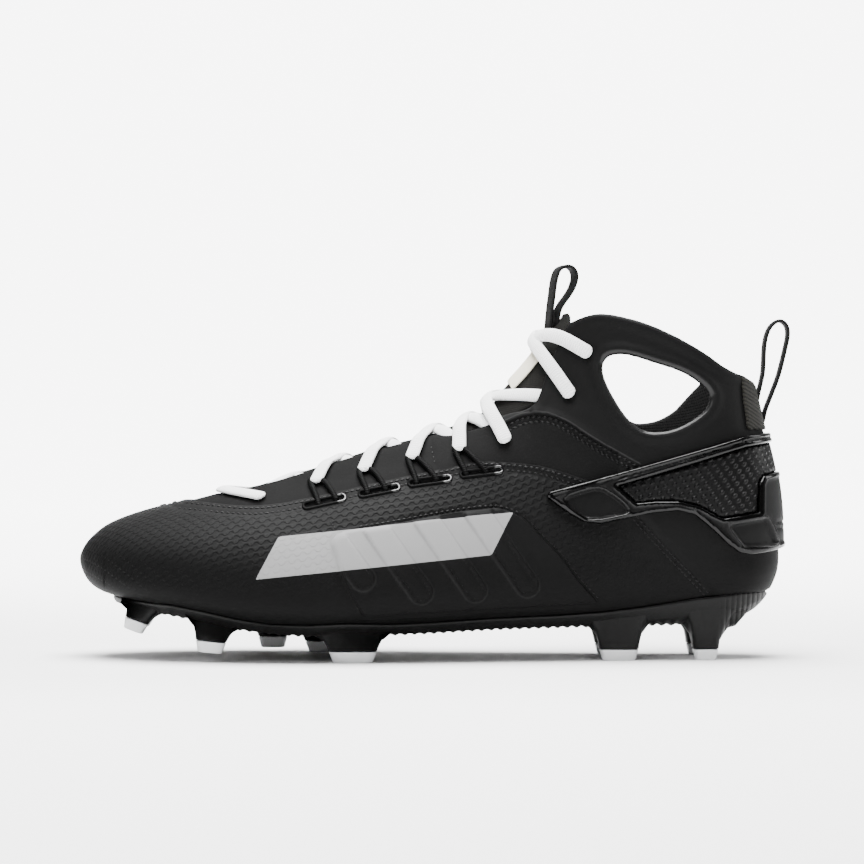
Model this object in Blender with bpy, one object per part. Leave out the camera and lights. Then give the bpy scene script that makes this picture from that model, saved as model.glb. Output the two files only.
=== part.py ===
"""Lacrosse cleat, left shoe, standing empty on its studs.

Frame: toe at -X, heel at +X, lateral side -Y, medial side +Y, +Z up, studs on z = 0.
Tables are in millimetres; meshes are in metres.
"""
import math

import bmesh
import bpy
import numpy as np

# Driving dimensions
MM = 0.001
WALL = 2.0
GAP = 0.3
STEP = 0.8
PLATE = 2.6
SEAT = 0.75
INSOLE = 3.2
TONGUE = 3.4
CLIP = 2.4
PANEL = 1.1
LACE_WIDTH = 5.2
LACE_THICK = 3.0
CORD_RADIUS = 0.9
TAPE_WIDTH = 8.0
TAPE_THICK = 1.4
TIP_HEIGHT = 4.4

# The last: a row for each section, from the toe tip round the heel and up to the collar
SECTION_COLUMNS = ("top_x", "top_z", "low_x", "low_z", "spine_y", "lateral", "medial",
                   "widest", "top_power", "low_power")
SECTIONS = (
    (-146.6, 40.5, -146.6, 40.5, 5.5, 0.0, 0.0, 0.46, 2.0, 2.0),
    (-144.8, 45.6, -144.8, 34.6, 5.5, 11.5, 11.0, 0.44, 2.0, 2.2),
    (-140.8, 50.4, -140.8, 29.6, 5.3, 19.5, 18.5, 0.42, 2.0, 2.6),
    (-133.5, 55.6, -133.5, 26.2, 5.0, 28.0, 26.0, 0.39, 2.0, 3.2),
    (-120.0, 60.6, -120.0, 23.6, 4.3, 37.0, 34.0, 0.36, 2.0, 4.0),
    (-100.0, 65.6, -100.0, 20.2, 3.4, 45.5, 40.0, 0.34, 2.0, 4.5),
    (-77.0, 71.6, -77.0, 15.6, 2.8, 50.5, 43.8, 0.33, 1.95, 4.6),
    (-52.0, 77.8, -52.0, 13.2, 2.3, 52.0, 44.6, 0.32, 1.85, 4.6),
    (-28.0, 85.6, -28.0, 13.4, 1.8, 51.0, 40.8, 0.32, 1.8, 4.5),
    (-4.0, 93.4, -4.0, 14.0, 1.3, 47.0, 36.3, 0.32, 1.75, 4.4),
    (11.0, 100.6, 24.0, 15.4, 0.9, 42.4, 34.0, 0.33, 1.75, 4.2),
    (21.5, 108.0, 52.0, 16.2, 0.5, 38.4, 33.0, 0.34, 1.8, 4.0),
    (29.5, 115.0, 82.0, 16.8, 0.2, 35.6, 32.6, 0.36, 1.9, 3.6),
    (35.8, 121.8, 109.5, 17.6, 0.0, 34.0, 32.4, 0.40, 2.0, 3.2),
    (40.6, 128.0, 131.0, 22.0, 0.0, 33.4, 32.2, 0.44, 2.1, 2.9),
    (44.0, 133.6, 141.0, 38.0, 0.0, 33.0, 32.0, 0.45, 2.2, 2.6),
    (46.8, 138.8, 142.3, 56.0, 0.0, 32.6, 31.8, 0.46, 2.2, 2.4),
    (49.0, 143.6, 140.2, 76.0, 0.0, 32.2, 31.6, 0.46, 2.2, 2.3),
    (50.8, 148.2, 135.2, 97.0, 0.0, 32.0, 31.6, 0.46, 2.2, 2.2),
    (52.4, 153.0, 130.4, 118.0, 0.0, 32.2, 31.8, 0.46, 2.2, 2.2),
    (53.6, 158.0, 127.0, 136.0, 0.0, 32.6, 32.2, 0.46, 2.2, 2.2),
)
TOP_RING = len(SECTIONS) - 1

# Half opening of the throat and of the lasted bottom, along the wall, by section
THROAT_COLUMNS = ("section", "half_width")
THROAT = ((5.45, 0.0), (5.5, 3.0), (5.7, 6.5), (6.0, 9.0), (7.0, 11.5), (9.0, 12.5), (10.5, 13.5),
          (11.5, 16.0), (12.5, 19.0), (14.0, 20.0), (20.0, 20.0))
LASTED_COLUMNS = ("section", "half_width")
LASTED = ((2.9, 0.0), (3.0, 8.0), (4.0, 20.0), (5.0, 27.0), (7.0, 31.0), (9.0, 26.0), (11.0, 22.0),
          (13.0, 19.0), (13.8, 12.0), (14.1, 0.0))

# Where the wall's grid lines run: sections along the shoe, shares of the way from throat to bottom
TOE_RINGS = (0.0, 0.5, 1.0, 1.7, 2.4, 2.9, 3.0, 3.6, 4.3, 5.0, 5.45, 5.5, 5.7, 6.0)
FOOT_RINGS = (6.6, 7.2, 7.8, 8.4, 9.0, 9.5)
ANKLE_RINGS = (10.0, 10.5, 11.0, 11.5, 12.0, 12.5, 13.0, 13.4, 13.8, 14.1, 14.4, 14.7, 15.0, 15.5, 16.0,
               17.0, 18.0, 19.0, 20.0)
TONGUE_RINGS = (5.0, 5.5, 6.0, 7.0, 8.0, 9.0, 10.0, 10.5, 11.0, 11.5, 12.0, 12.5, 13.0, 14.0, 15.0,
                16.0, 16.6)
WALL_COLUMNS = (0.0, 0.08, 0.17, 0.29, 0.43, 0.57, 0.68, 0.76, 0.82, 0.88, 0.94, 1.0)
PLATE_COLUMNS = (0.0, 0.09, 0.18, 0.29, 0.5, 0.75, 1.0)
EVEN_COLUMNS = (0.0, 0.25, 0.5, 0.75, 1.0)

# Outlines in side view, x and z
COLLAR = ((30.0, 104.0), (40.0, 107.0), (46.0, 121.0), (52.5, 134.2), (57.5, 138.2), (67.5, 140.6),
          (80.8, 138.3), (92.5, 134.0), (103.8, 128.4), (111.4, 124.0), (118.0, 119.6),
          (123.0, 116.8), (132.0, 115.2), (150.0, 115.0))
COLLAR_ROOF = ((150.0, 175.0), (30.0, 175.0))
CUT_OUT = ((68.2, 119.1), (69.6, 122.6), (72.8, 124.2), (79.0, 124.0), (89.2, 120.9), (100.6, 117.0),
           (108.3, 112.2), (112.0, 107.4), (110.4, 102.4), (104.6, 97.6), (96.8, 93.9), (89.4, 92.9),
           (83.6, 94.2), (77.8, 99.0), (72.6, 107.0), (69.2, 114.0))
CUT_OUT_MEDIAL = ((68.6, 121.0), (70.0, 126.0), (75.0, 128.2), (83.0, 127.8), (95.0, 124.4),
                  (107.0, 120.2), (115.0, 115.8), (113.6, 113.4), (109.9, 110.6), (105.8, 105.8),
                  (101.4, 101.4), (95.4, 98.0), (89.4, 96.6), (84.2, 97.0), (78.0, 101.6), (72.6, 109.0))
LACE_PANEL = ((-112.0, 67.0), (-105.0, 65.2), (-94.0, 64.3), (-78.0, 63.1), (-66.0, 63.5), (-50.0, 66.3),
              (-33.6, 69.9), (-13.5, 74.4), (6.7, 78.4), (18.7, 80.8), (38.9, 79.6), (51.0, 76.8),
              (66.0, 71.5), (84.0, 79.6), (76.0, 83.8), (68.0, 88.4), (60.0, 93.0), (52.0, 97.0),
              (44.0, 99.0), (36.0, 98.0), (29.0, 96.0), (24.0, 99.0), (20.0, 125.0), (-60.0, 110.0))
CLIP_OUTLINE = ((45.4, 66.6), (46.6, 68.4), (62.0, 72.6), (81.7, 78.2), (108.5, 86.0), (127.1, 91.4),
                (140.0, 92.6), (152.0, 92.8), (152.0, 45.6), (142.0, 45.8), (135.0, 44.4), (127.9, 43.4),
                (123.1, 44.4), (118.6, 47.7), (111.8, 54.2), (105.1, 59.7), (98.5, 61.2), (88.4, 60.3),
                (79.1, 58.3), (67.0, 55.8), (60.1, 56.8), (54.9, 59.6))
CLIP_WINDOW = ((74.0, 70.9), (85.1, 74.2), (105.0, 80.2), (125.0, 86.5), (140.0, 88.8), (152.0, 89.0),
               (152.0, 76.8), (139.0, 76.4), (132.8, 74.8), (131.2, 72.0), (131.0, 60.2), (116.5, 58.0),
               (113.0, 59.6), (107.1, 63.1), (98.5, 65.0), (89.6, 65.0), (81.7, 64.2))
HEEL_TAB = ((127.2, 115.0), (129.4, 104.0), (132.2, 93.6), (150.0, 93.6), (150.0, 114.6), (131.0, 114.8))

# Upper edge of the plate on the upper, and the plate's ends
BITE_LINE = ((-150.0, 30.0), (-127.0, 26.5), (-113.0, 24.6), (-92.5, 21.0), (-79.0, 18.0), (-66.0, 15.8),
             (-50.0, 15.6), (-36.0, 16.4), (-17.0, 15.8), (0.0, 16.4), (22.0, 17.8), (51.0, 19.0),
             (68.0, 20.2), (84.5, 22.2), (107.0, 25.8), (125.0, 27.8), (150.0, 28.4))
PLATE_ENDS = (3.05, 14.4)

# Studs: place, height of the tip's face, size of that face, lean with the toe spring
STUD_COLUMNS = ("name", "x", "y", "face_z", "length", "width", "spread", "lean")
STUDS = (
    ("toe_lateral", -121.0, -17.0, 12.6, 8.4, 7.0, 1.55, 15.0),
    ("toe_medial", -122.5, 24.0, 13.0, 8.4, 7.0, 1.55, 15.0),
    ("front_lateral", -89.5, -33.0, 4.2, 10.6, 7.4, 1.5, 6.0),
    ("front_medial", -68.0, 34.0, 1.8, 10.2, 7.4, 1.5, 0.0),
    ("ball_lateral", -32.5, -35.0, 0.0, 15.4, 8.4, 1.42, 0.0),
    ("ball_medial", -44.5, 31.0, 0.0, 15.4, 8.4, 1.42, 0.0),
    ("heel_front_lateral", 75.5, -20.5, 0.0, 13.4, 8.0, 1.45, 0.0),
    ("heel_front_medial", 75.5, 19.5, 0.0, 13.4, 8.0, 1.45, 0.0),
    ("heel_rear_lateral", 111.0, -17.0, 0.0, 8.4, 9.6, 1.6, 0.0),
    ("heel_rear_medial", 111.0, 17.0, 0.0, 8.4, 9.6, 1.6, 0.0),
)
STUD_SIDES = 8

# Lace stations in side view, from the toe bar to the top eyelet
EYELET_COLUMNS = ("x", "z", "lift")
EYELETS = ((-69.0, 68.6, 1.2), (-47.5, 74.2, 1.2), (-28.0, 78.6, 1.2), (-8.4, 83.6, 1.2),
           (11.0, 87.4, 1.2), (29.0, 90.0, 1.6), (55.6, 107.6, 2.3), (62.4, 125.4, 2.3))
EXIT_COLUMNS = ("x", "z", "crossing_section")
EXITS = ((-51.0, 77.0, 6.76), (-33.0, 82.6, 7.6), (-13.2, 88.8, 8.38), (7.2, 92.8, 9.3), (22.8, 96.2, 10.4),
         (44.0, 109.8, 11.25), (62.4, 125.4, 14.5))
SLOT_COLUMNS = ("front_x", "front_z", "back_x", "back_z")
SLOTS = ((-52.0, 65.2, -38.0, 68.4), (-29.0, 70.2, -15.4, 73.0), (-9.6, 74.6, 5.2, 77.4),
         (10.0, 78.6, 25.0, 80.6))
TOE_BAR_FRONT = 16.0
ON_TONGUE = -WALL - GAP + LACE_THICK / 2

# Webbing loops in side view
TONGUE_LOOP = ((45.6, 133.2), (46.6, 136.4), (47.2, 141.6), (48.3, 148.6), (49.6, 155.6), (51.2, 159.6),
               (53.8, 161.4), (56.4, 161.2), (58.2, 159.2), (58.6, 156.4), (57.4, 152.6), (55.0, 148.4),
               (53.0, 144.9), (51.8, 140.6))
HEEL_LOOP = ((134.7, 109.6), (135.3, 113.4), (136.2, 118.3), (136.8, 129.0), (138.4, 135.0),
             (140.9, 138.0), (143.5, 138.8), (145.8, 136.8), (146.4, 133.0), (145.2, 126.8),
             (142.6, 116.5), (140.1, 108.4), (138.4, 102.2), (137.6, 97.0))

COLOURS = {
    "skin": (0.012, 0.012, 0.013, 0.55),
    "mesh": (0.02, 0.02, 0.018, 0.85),
    "foam": (0.03, 0.03, 0.03, 0.8),
    "plate": (0.01, 0.01, 0.011, 0.35),
    "tip": (0.78, 0.79, 0.8, 0.4),
    "clip": (0.008, 0.008, 0.009, 0.18),
    "panel": (0.016, 0.016, 0.017, 0.45),
    "webbing": (0.014, 0.014, 0.014, 0.8),
    "label": (0.75, 0.72, 0.62, 0.7),
    "lace": (0.86, 0.86, 0.86, 0.75),
    "cord": (0.012, 0.012, 0.012, 0.6),
}


def row_at(u):
    """The section table read at any place between its rows, with a smooth curve."""
    table = np.array(SECTIONS)
    nose = table[1].copy()
    nose[1], nose[3] = table[1][3], table[1][1]
    nose[5:7] = -table[1][5:7]
    rows = np.vstack([nose, table, 2 * table[-1] - table[-2]])
    k = min(int(u), TOP_RING - 1)
    t = u - k
    a, b, c, d = rows[k:k + 4]
    return 0.5 * (2 * b + (c - a) * t + (2 * a - 5 * b + 4 * c - d) * t * t
                  + (3 * b - a - 3 * c + d) * t ** 3)


def half_ring(u, side):
    """Points of one half section from the ridge to the bottom, and their distance along it."""
    row = dict(zip(SECTION_COLUMNS, row_at(u)))
    angle = np.linspace(0.0, math.pi / 2, 64)
    low = math.pi / 2 - angle
    width = row["lateral"] if side < 0 else row["medial"]
    top_p = 2.0 / row["top_power"]
    low_p = 2.0 / row["low_power"]
    m = row["widest"]
    rise = np.concatenate([m + (1 - m) * np.cos(angle) ** top_p, m - m * np.cos(low[1:]) ** low_p])
    out = np.concatenate([np.sin(angle) ** top_p, np.sin(low[1:]) ** low_p]) * width
    out[0] = 0.0
    out[-1] = 0.0
    rise[-1] = 0.0
    x = row["low_x"] + rise * (row["top_x"] - row["low_x"])
    z = row["low_z"] + rise * (row["top_z"] - row["low_z"])
    points = np.stack([x, row["spine_y"] + side * out, z], axis=1)
    steps = np.linalg.norm(np.diff(points, axis=0), axis=1)
    return points, np.concatenate([[0.0], np.cumsum(steps)])


def girth(u, side):
    """Length of one half section from the ridge to the bottom."""
    return half_ring(u, side)[1][-1]


def wall_points(u, side, arcs):
    """Points of one half section at distances from the ridge."""
    points, along = half_ring(u, side)
    return np.stack([np.interp(arcs, along, points[:, i]) for i in range(3)], axis=1)


def wall_normals(u, side, arcs):
    """Outward directions of the wall at distances from the ridge."""
    arcs = np.asarray(arcs, float)
    end = girth(u, side)
    if u < 0.02:
        return np.tile([-1.0, 0.0, 0.0], (len(arcs), 1))
    ahead = wall_points(min(u + 0.03, TOP_RING), side, arcs)
    behind = wall_points(u - 0.015, side, arcs)
    down = wall_points(u, side, np.minimum(arcs + 0.8, end))
    up = wall_points(u, side, np.maximum(arcs - 0.8, 0.0))
    normals = np.cross(ahead - behind, down - up) * side
    centre = (arcs < 1e-6) | (arcs > end - 1e-6)
    normals[centre, 1] = 0.0
    return normals / np.linalg.norm(normals, axis=1)[:, None]


def curve_value(table, at):
    """A two-column table read at one place."""
    columns = np.array(table)
    return float(np.interp(at, columns[:, 0], columns[:, 1]))


def bite_arc(u, side):
    """Distance from the bottom centre to the plate's upper edge, along one half section."""
    points, along = half_ring(u, side)
    above = points[:, 2] - np.interp(points[:, 0], *np.array(BITE_LINE).T)
    k = len(above) - 1
    while k > 0 and above[k] < 0:
        k -= 1
    if k == len(above) - 1:
        return 0.0
    share = above[k] / (above[k] - above[k + 1])
    return along[-1] - (along[k] + share * (along[k + 1] - along[k]))


def locate(x, z, side):
    """Section and distance from the ridge of the wall point seen at x, z from one side."""
    best = (1e9, 0.0, 0.0)
    for u in np.arange(0.5, TOP_RING, 0.1):
        points, along = half_ring(u, side)
        gap = np.hypot(points[:, 0] - x, points[:, 2] - z)
        k = int(gap.argmin())
        best = min(best, (gap[k], u, along[k]))
    spot = np.array(best[1:])
    for _ in range(8):
        here = wall_points(spot[0], side, [spot[1]])[0]
        du = wall_points(spot[0] + 0.02, side, [spot[1]])[0] - here
        da = wall_points(spot[0], side, [spot[1] + 0.2])[0] - here
        slope = np.array([[du[0] / 0.02, da[0] / 0.2], [du[2] / 0.02, da[2] / 0.2]])
        spot = spot + np.linalg.solve(slope, [x - here[0], z - here[2]])
    return spot


def material(name):
    """One plain material for one named surface."""
    found = bpy.data.materials.get(name)
    if found:
        return found
    made = bpy.data.materials.new(name)
    made.use_nodes = True
    shader = made.node_tree.nodes["Principled BSDF"]
    red, green, blue, rough = COLOURS[name]
    shader.inputs["Base Color"].default_value = (red, green, blue, 1.0)
    shader.inputs["Roughness"].default_value = rough
    return made


def solid(name, points, faces, surface):
    """A named object from points in millimetres and faces, facing out."""
    mesh = bpy.data.meshes.new(name)
    mesh.from_pydata([tuple(np.array(p) * MM) for p in points], [], faces)
    made = bpy.data.objects.new(name, mesh)
    bpy.context.collection.objects.link(made)
    tidy(made)
    made.data.materials.append(material(surface))
    return made


def tidy(made, merge=0.00002):
    """Weld double points, drop needle faces and face a mesh out."""
    grid = bmesh.new()
    grid.from_mesh(made.data)
    bmesh.ops.remove_doubles(grid, verts=grid.verts, dist=merge)
    bmesh.ops.dissolve_degenerate(grid, dist=merge, edges=grid.edges)
    bmesh.ops.recalc_face_normals(grid, faces=grid.faces)
    grid.to_mesh(made.data)
    grid.free()


def combine(made, tool, operation):
    """Cut, keep or join one solid with another, which is used up."""
    step = made.modifiers.new("combine", "BOOLEAN")
    step.operation = operation
    step.solver = "EXACT"
    step.object = tool
    bpy.context.view_layer.objects.active = made
    bpy.ops.object.modifier_apply(modifier=step.name)
    bpy.data.objects.remove(tool)
    tidy(made)
    return made


def wall_piece(name, surface, rings, start, end, columns, lift_out, lift_in):
    """A closed piece of the last's wall: both sides, between two arcs and two lifts.

    Columns are shares of the way from the first arc to the last; the outer lift may change with them.
    """
    outer = np.broadcast_to(lift_out, len(columns))
    keys = {}
    base = []
    normals = []
    lifts = []
    cells = []
    for side in (-1, 1):
        lines = []
        for u in rings:
            first = start(u, side)
            last = end(u, side)
            arcs = first + (last - first) * np.array(columns)
            places = wall_points(u, side, arcs)
            ways = wall_normals(u, side, arcs)
            line = []
            for place, way, lift in zip(places, ways, outer):
                key = tuple(np.round(place, 3))
                if key not in keys:
                    keys[key] = len(base)
                    base.append(place)
                    normals.append(way)
                    lifts.append(lift)
                line.append(keys[key])
            lines.append(line)
        for near, far in zip(lines, lines[1:]):
            for j in range(len(columns) - 1):
                loop = [near[j], near[j + 1], far[j + 1], far[j]]
                loop = [v for i, v in enumerate(loop) if v != loop[i - 1]]
                if len(set(loop)) > 2:
                    cells.append(loop if side < 0 else loop[::-1])
    base = np.array(base)
    normals = np.array(normals)
    edges = {}
    for cell in cells:
        for a, b in zip(cell, cell[1:] + cell[:1]):
            edges[(a, b)] = True
    shift = len(base)
    points = np.vstack([base + normals * np.array(lifts)[:, None], base + normals * lift_in])
    faces = list(cells)
    faces += [[v + shift for v in reversed(cell)] for cell in cells]
    faces += [[b, a, a + shift, b + shift] for a, b in edges if (b, a) not in edges]
    return solid(name, points, faces, surface)


def prism(outline, near, far):
    """A cutter: a side-view outline run across the shoe between two y values."""
    n = len(outline)
    points = [(x, near, z) for x, z in outline] + [(x, far, z) for x, z in outline]
    faces = [list(range(n)), [n + i for i in reversed(range(n))]]
    faces += [[i, i + n, (i + 1) % n + n, (i + 1) % n] for i in range(n)]
    return solid("cutter", points, faces, "skin")


def rounded(outline, steps):
    """A closed outline with a smooth curve through its points."""
    ring = np.array(outline)
    n = len(ring)
    out = []
    for k in range(n):
        a, b, c, d = (ring[(k + i - 1) % n] for i in range(4))
        for t in np.arange(steps) / steps:
            out.append(tuple(0.5 * (2 * b + (c - a) * t + (2 * a - 5 * b + 4 * c - d) * t * t
                                    + (3 * b - a - 3 * c + d) * t ** 3)))
    return out


def inset(outline, distance):
    """An outline moved in by a distance along its mitred corners."""
    ring = np.array(outline)
    ahead = np.roll(ring, -1, axis=0) - ring
    ahead /= np.linalg.norm(ahead, axis=1)[:, None]
    turn = np.sign(np.sum(ring[:, 0] * np.roll(ring[:, 1], -1) - np.roll(ring[:, 0], -1) * ring[:, 1]))
    inward = np.stack([-ahead[:, 1], ahead[:, 0]], axis=1) * turn
    before = np.roll(inward, 1, axis=0)
    share = 1.0 + np.sum(inward * before, axis=1)
    return [tuple(p) for p in ring + distance * (inward + before) / share[:, None]]


def tube(name, surface, path, across, wide, thick, corners):
    """A closed tube with an oval or flat section along a path."""
    path = np.array(path, float)
    ways = np.gradient(path, axis=0)
    ways /= np.linalg.norm(ways, axis=1)[:, None]
    points = []
    for place, way, side in zip(path, ways, across):
        side = side - way * (side @ way)
        side = side / np.linalg.norm(side)
        up = np.cross(way, side)
        for s, t in corners:
            points.append(place + side * s * wide / 2 + up * t * thick / 2)
    n = len(corners)
    count = len(path)
    faces = [list(range(n)), [(count - 1) * n + i for i in reversed(range(n))]]
    for k in range(count - 1):
        for i in range(n):
            j = (i + 1) % n
            faces.append([k * n + i, (k + 1) * n + i, (k + 1) * n + j, k * n + j])
    return solid(name, points, faces, surface)


def oval(sides):
    """Corners of a round section."""
    turns = np.arange(sides) * 2 * math.pi / sides + math.pi / sides
    return [(math.cos(a), math.sin(a)) for a in turns]


def wall_path(stops, lifts, count):
    """A path over the wall through stops given as section and signed distance from the ridge."""
    stops = np.array(stops, float)
    at = np.linspace(0.0, 1.0, len(stops))
    path = []
    normals = []
    for t in np.linspace(0.0, 1.0, count):
        u = float(np.interp(t, at, stops[:, 0]))
        arc = float(np.interp(t, at, stops[:, 1]))
        side = -1 if arc < 0 else 1
        place = wall_points(u, side, [abs(arc)])[0]
        way = wall_normals(u, side, [abs(arc)])[0]
        path.append(place + way * float(np.interp(t, at, lifts)))
        normals.append(way)
    return np.array(path), np.array(normals)


def wall_tube(name, surface, stops, lifts, count, wide, thick, sides):
    """An oval cord that lies along the wall."""
    path, normals = wall_path(stops, lifts, count)
    across = np.cross(np.gradient(path, axis=0), normals)
    return tube(name, surface, path, across, wide, thick, oval(sides))


def throat(u, side):
    return curve_value(THROAT, u)


def lasted(u, side):
    return girth(u, side) - curve_value(LASTED, u)


def bottom(u, side):
    return girth(u, side)


def ridge(u, side):
    return 0.0


def build_upper():
    """The hollow upper: wall, stepped lace panel, collar edge and ankle cut-outs."""
    upper = wall_piece("upper", "skin", TOE_RINGS + FOOT_RINGS + ANKLE_RINGS, throat, lasted, WALL_COLUMNS,
                       0.0, -WALL)
    roof = prism(COLLAR + COLLAR_ROOF, -90.0, 90.0)
    combine(upper, roof, "DIFFERENCE")
    combine(upper, prism(rounded(CUT_OUT, 2), -90.0, -5.0), "DIFFERENCE")
    combine(upper, prism(rounded(CUT_OUT_MEDIAL, 2), 5.0, 90.0), "DIFFERENCE")
    recess = wall_piece("cutter", "skin", TOE_RINGS[8:] + FOOT_RINGS + ANKLE_RINGS[:13], ridge,
                        lambda u, s: 75.0, np.linspace(0.0, 1.0, 8), 3.0, -STEP)
    combine(recess, prism(LACE_PANEL, -90.0, 90.0), "INTERSECT")
    combine(upper, recess, "DIFFERENCE")
    return upper


def build_outsole():
    """The plate with its stud bodies, and the stud tips."""
    first, last = PLATE_ENDS
    rings = [first, first + 0.06, first + 0.2, 3.5] + list(np.arange(4.0, 13.1, 0.65))
    rings += [13.4, 13.65, 13.85, 14.0, 14.15, 14.26, 14.34, 14.38, last]

    def edge(u, side):
        front = min(1.0, math.sqrt(max(0.0, (u - first) / 1.6)))
        back = 0.0 if u >= last - 1e-6 else 1.0
        return girth(u, side) - bite_arc(u, side) * front * back

    thick = SEAT + PLATE * np.clip(0.42 + 2.4 * np.array(PLATE_COLUMNS), 0.0, 1.0)
    plate = wall_piece("outsole", "plate", rings, edge, bottom, PLATE_COLUMNS, thick, SEAT)
    for stud in STUDS:
        row = dict(zip(STUD_COLUMNS, stud))
        stud_block("stud_tip_" + row["name"], "tip", row, (0.0, TIP_HEIGHT), False)
        body = stud_block("stud", "plate", row, (TIP_HEIGHT + GAP, 8.0, 11.0), True)
        combine(plate, body, "UNION")


def bottom_height(x, y):
    """Height of the last's bottom over a point of the floor."""
    best = (1e9, 0.0)
    for u in np.arange(2.6, 15.0, 0.05):
        row = row_at(u)
        if abs(row[2] - x) > 12.0:
            continue
        points = half_ring(u, -1 if y < row[4] else 1)[0][64:]
        points = points[points[:, 2] < np.interp(points[:, 0], *np.array(BITE_LINE).T)]
        if len(points) == 0:
            continue
        gap = np.hypot(points[:, 0] - x, points[:, 1] - y)
        k = int(gap.argmin())
        best = min(best, (gap[k], points[k, 2]))
    return best[1]


def stud_block(name, surface, row, heights, seated):
    """A stud or its tip: rounded rings stacked up from the floor face, the last set in the plate."""
    lean = math.radians(row["lean"])
    points = []
    for level, height in enumerate(heights):
        grow = 1.0 + (row["spread"] - 1.0) * (height / 11.0) ** 1.3
        for k in range(STUD_SIDES):
            turn = 2 * math.pi * (k + 0.5) / STUD_SIDES
            c = math.cos(turn)
            s = math.sin(turn)
            a = math.copysign(abs(c) ** 0.6, c) * row["length"] / 2 * grow
            b = math.copysign(abs(s) ** 0.6, s) * row["width"] / 2 * grow
            x = row["x"] + a * math.cos(lean) + height * math.sin(lean)
            y = row["y"] + b
            z = row["face_z"] - a * math.sin(lean) + height * math.cos(lean)
            if seated and level == len(heights) - 1:
                z = bottom_height(x, y) - SEAT - PLATE / 2
            points.append((x, y, z))
    n = STUD_SIDES
    count = len(heights)
    faces = [list(reversed(range(n)))]
    for k in range(count - 1):
        for i in range(n):
            j = (i + 1) % n
            faces.append([k * n + i, k * n + j, (k + 1) * n + j, (k + 1) * n + i])
    rim = [(count - 1) * n + i for i in range(n)]
    if seated:
        points.append(tuple(np.mean([points[i] for i in rim], axis=0)))
        faces += [[i, j, count * n] for i, j in zip(rim, rim[1:] + rim[:1])]
    else:
        faces.append(rim)
    return solid(name, points, faces, surface)


def build_inside():
    """The tongue under the throat and the insole on the lasted bottom."""
    lift = -WALL - 2 * GAP
    tongue = wall_piece("tongue", "mesh", TONGUE_RINGS, ridge, lambda u, s: curve_value(THROAT, u) + 8.0,
                        EVEN_COLUMNS, lift, lift - TONGUE)

    def inner(u, side):
        points, along = half_ring(u, side)
        row = dict(zip(SECTION_COLUMNS, row_at(u)))
        reach = 0.74 * (row["lateral"] if side < 0 else row["medial"])
        ends = min(1.0, math.sqrt(max(0.0, u - 2.8) / 1.3), math.sqrt(max(0.0, 13.9 - u) / 1.2))
        out = np.abs(points[:, 1] - row["spine_y"])
        k = len(out) - 1
        while out[k] < reach * ends and k > 64:
            k -= 1
        return along[k]

    rings = [2.8, 2.86, 3.0, 3.25, 3.6] + list(np.arange(4.2, 13.0, 1.2)) + [13.3, 13.6, 13.82, 13.9]
    lift = -WALL - 3 * GAP
    return tongue, wall_piece("insole", "foam", rings, inner, bottom, EVEN_COLUMNS, lift, lift - INSOLE)


def build_heel():
    """The heel clip's frame, its inner panel and the webbing tab above it."""
    clip = wall_piece("heel_clip", "clip", ANKLE_RINGS, throat, lasted, WALL_COLUMNS, GAP + CLIP, GAP)
    combine(clip, prism(CLIP_OUTLINE, -90.0, 90.0), "INTERSECT")
    combine(clip, prism(CLIP_WINDOW, -90.0, 90.0), "DIFFERENCE")
    panel = wall_piece("heel_panel", "panel", ANKLE_RINGS, throat, lasted, WALL_COLUMNS, GAP + PANEL, GAP)
    combine(panel, prism(inset(CLIP_WINDOW, 1.5 * GAP), -90.0, 90.0), "INTERSECT")
    tab = wall_piece("heel_tab", "webbing", ANKLE_RINGS[14:], throat, lasted, WALL_COLUMNS, GAP + 1.0, GAP)
    combine(tab, prism(HEEL_TAB, -90.0, 90.0), "INTERSECT")
    return clip, panel, tab


def build_loops():
    """The webbing loops at the tongue top and the heel, and the plain label."""
    flat = ((-1.0, -1.0), (1.0, -1.0), (1.0, 1.0), (-1.0, 1.0))
    for name, line in (("tongue_loop", TONGUE_LOOP), ("heel_loop", HEEL_LOOP)):
        path = [(x, 0.0, z) for x, z in line]
        across = np.tile([0.0, 1.0, 0.0], (len(path), 1))
        tube(name, "webbing", path, across, TAPE_WIDTH, TAPE_THICK, flat)
    wall_piece("tongue_label", "label", (12.0, 12.5, 13.0, 13.5, 14.0), ridge, lambda u, s: 6.0,
               (0.0, 0.5, 1.0), -WALL + 0.9, -WALL)


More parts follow.
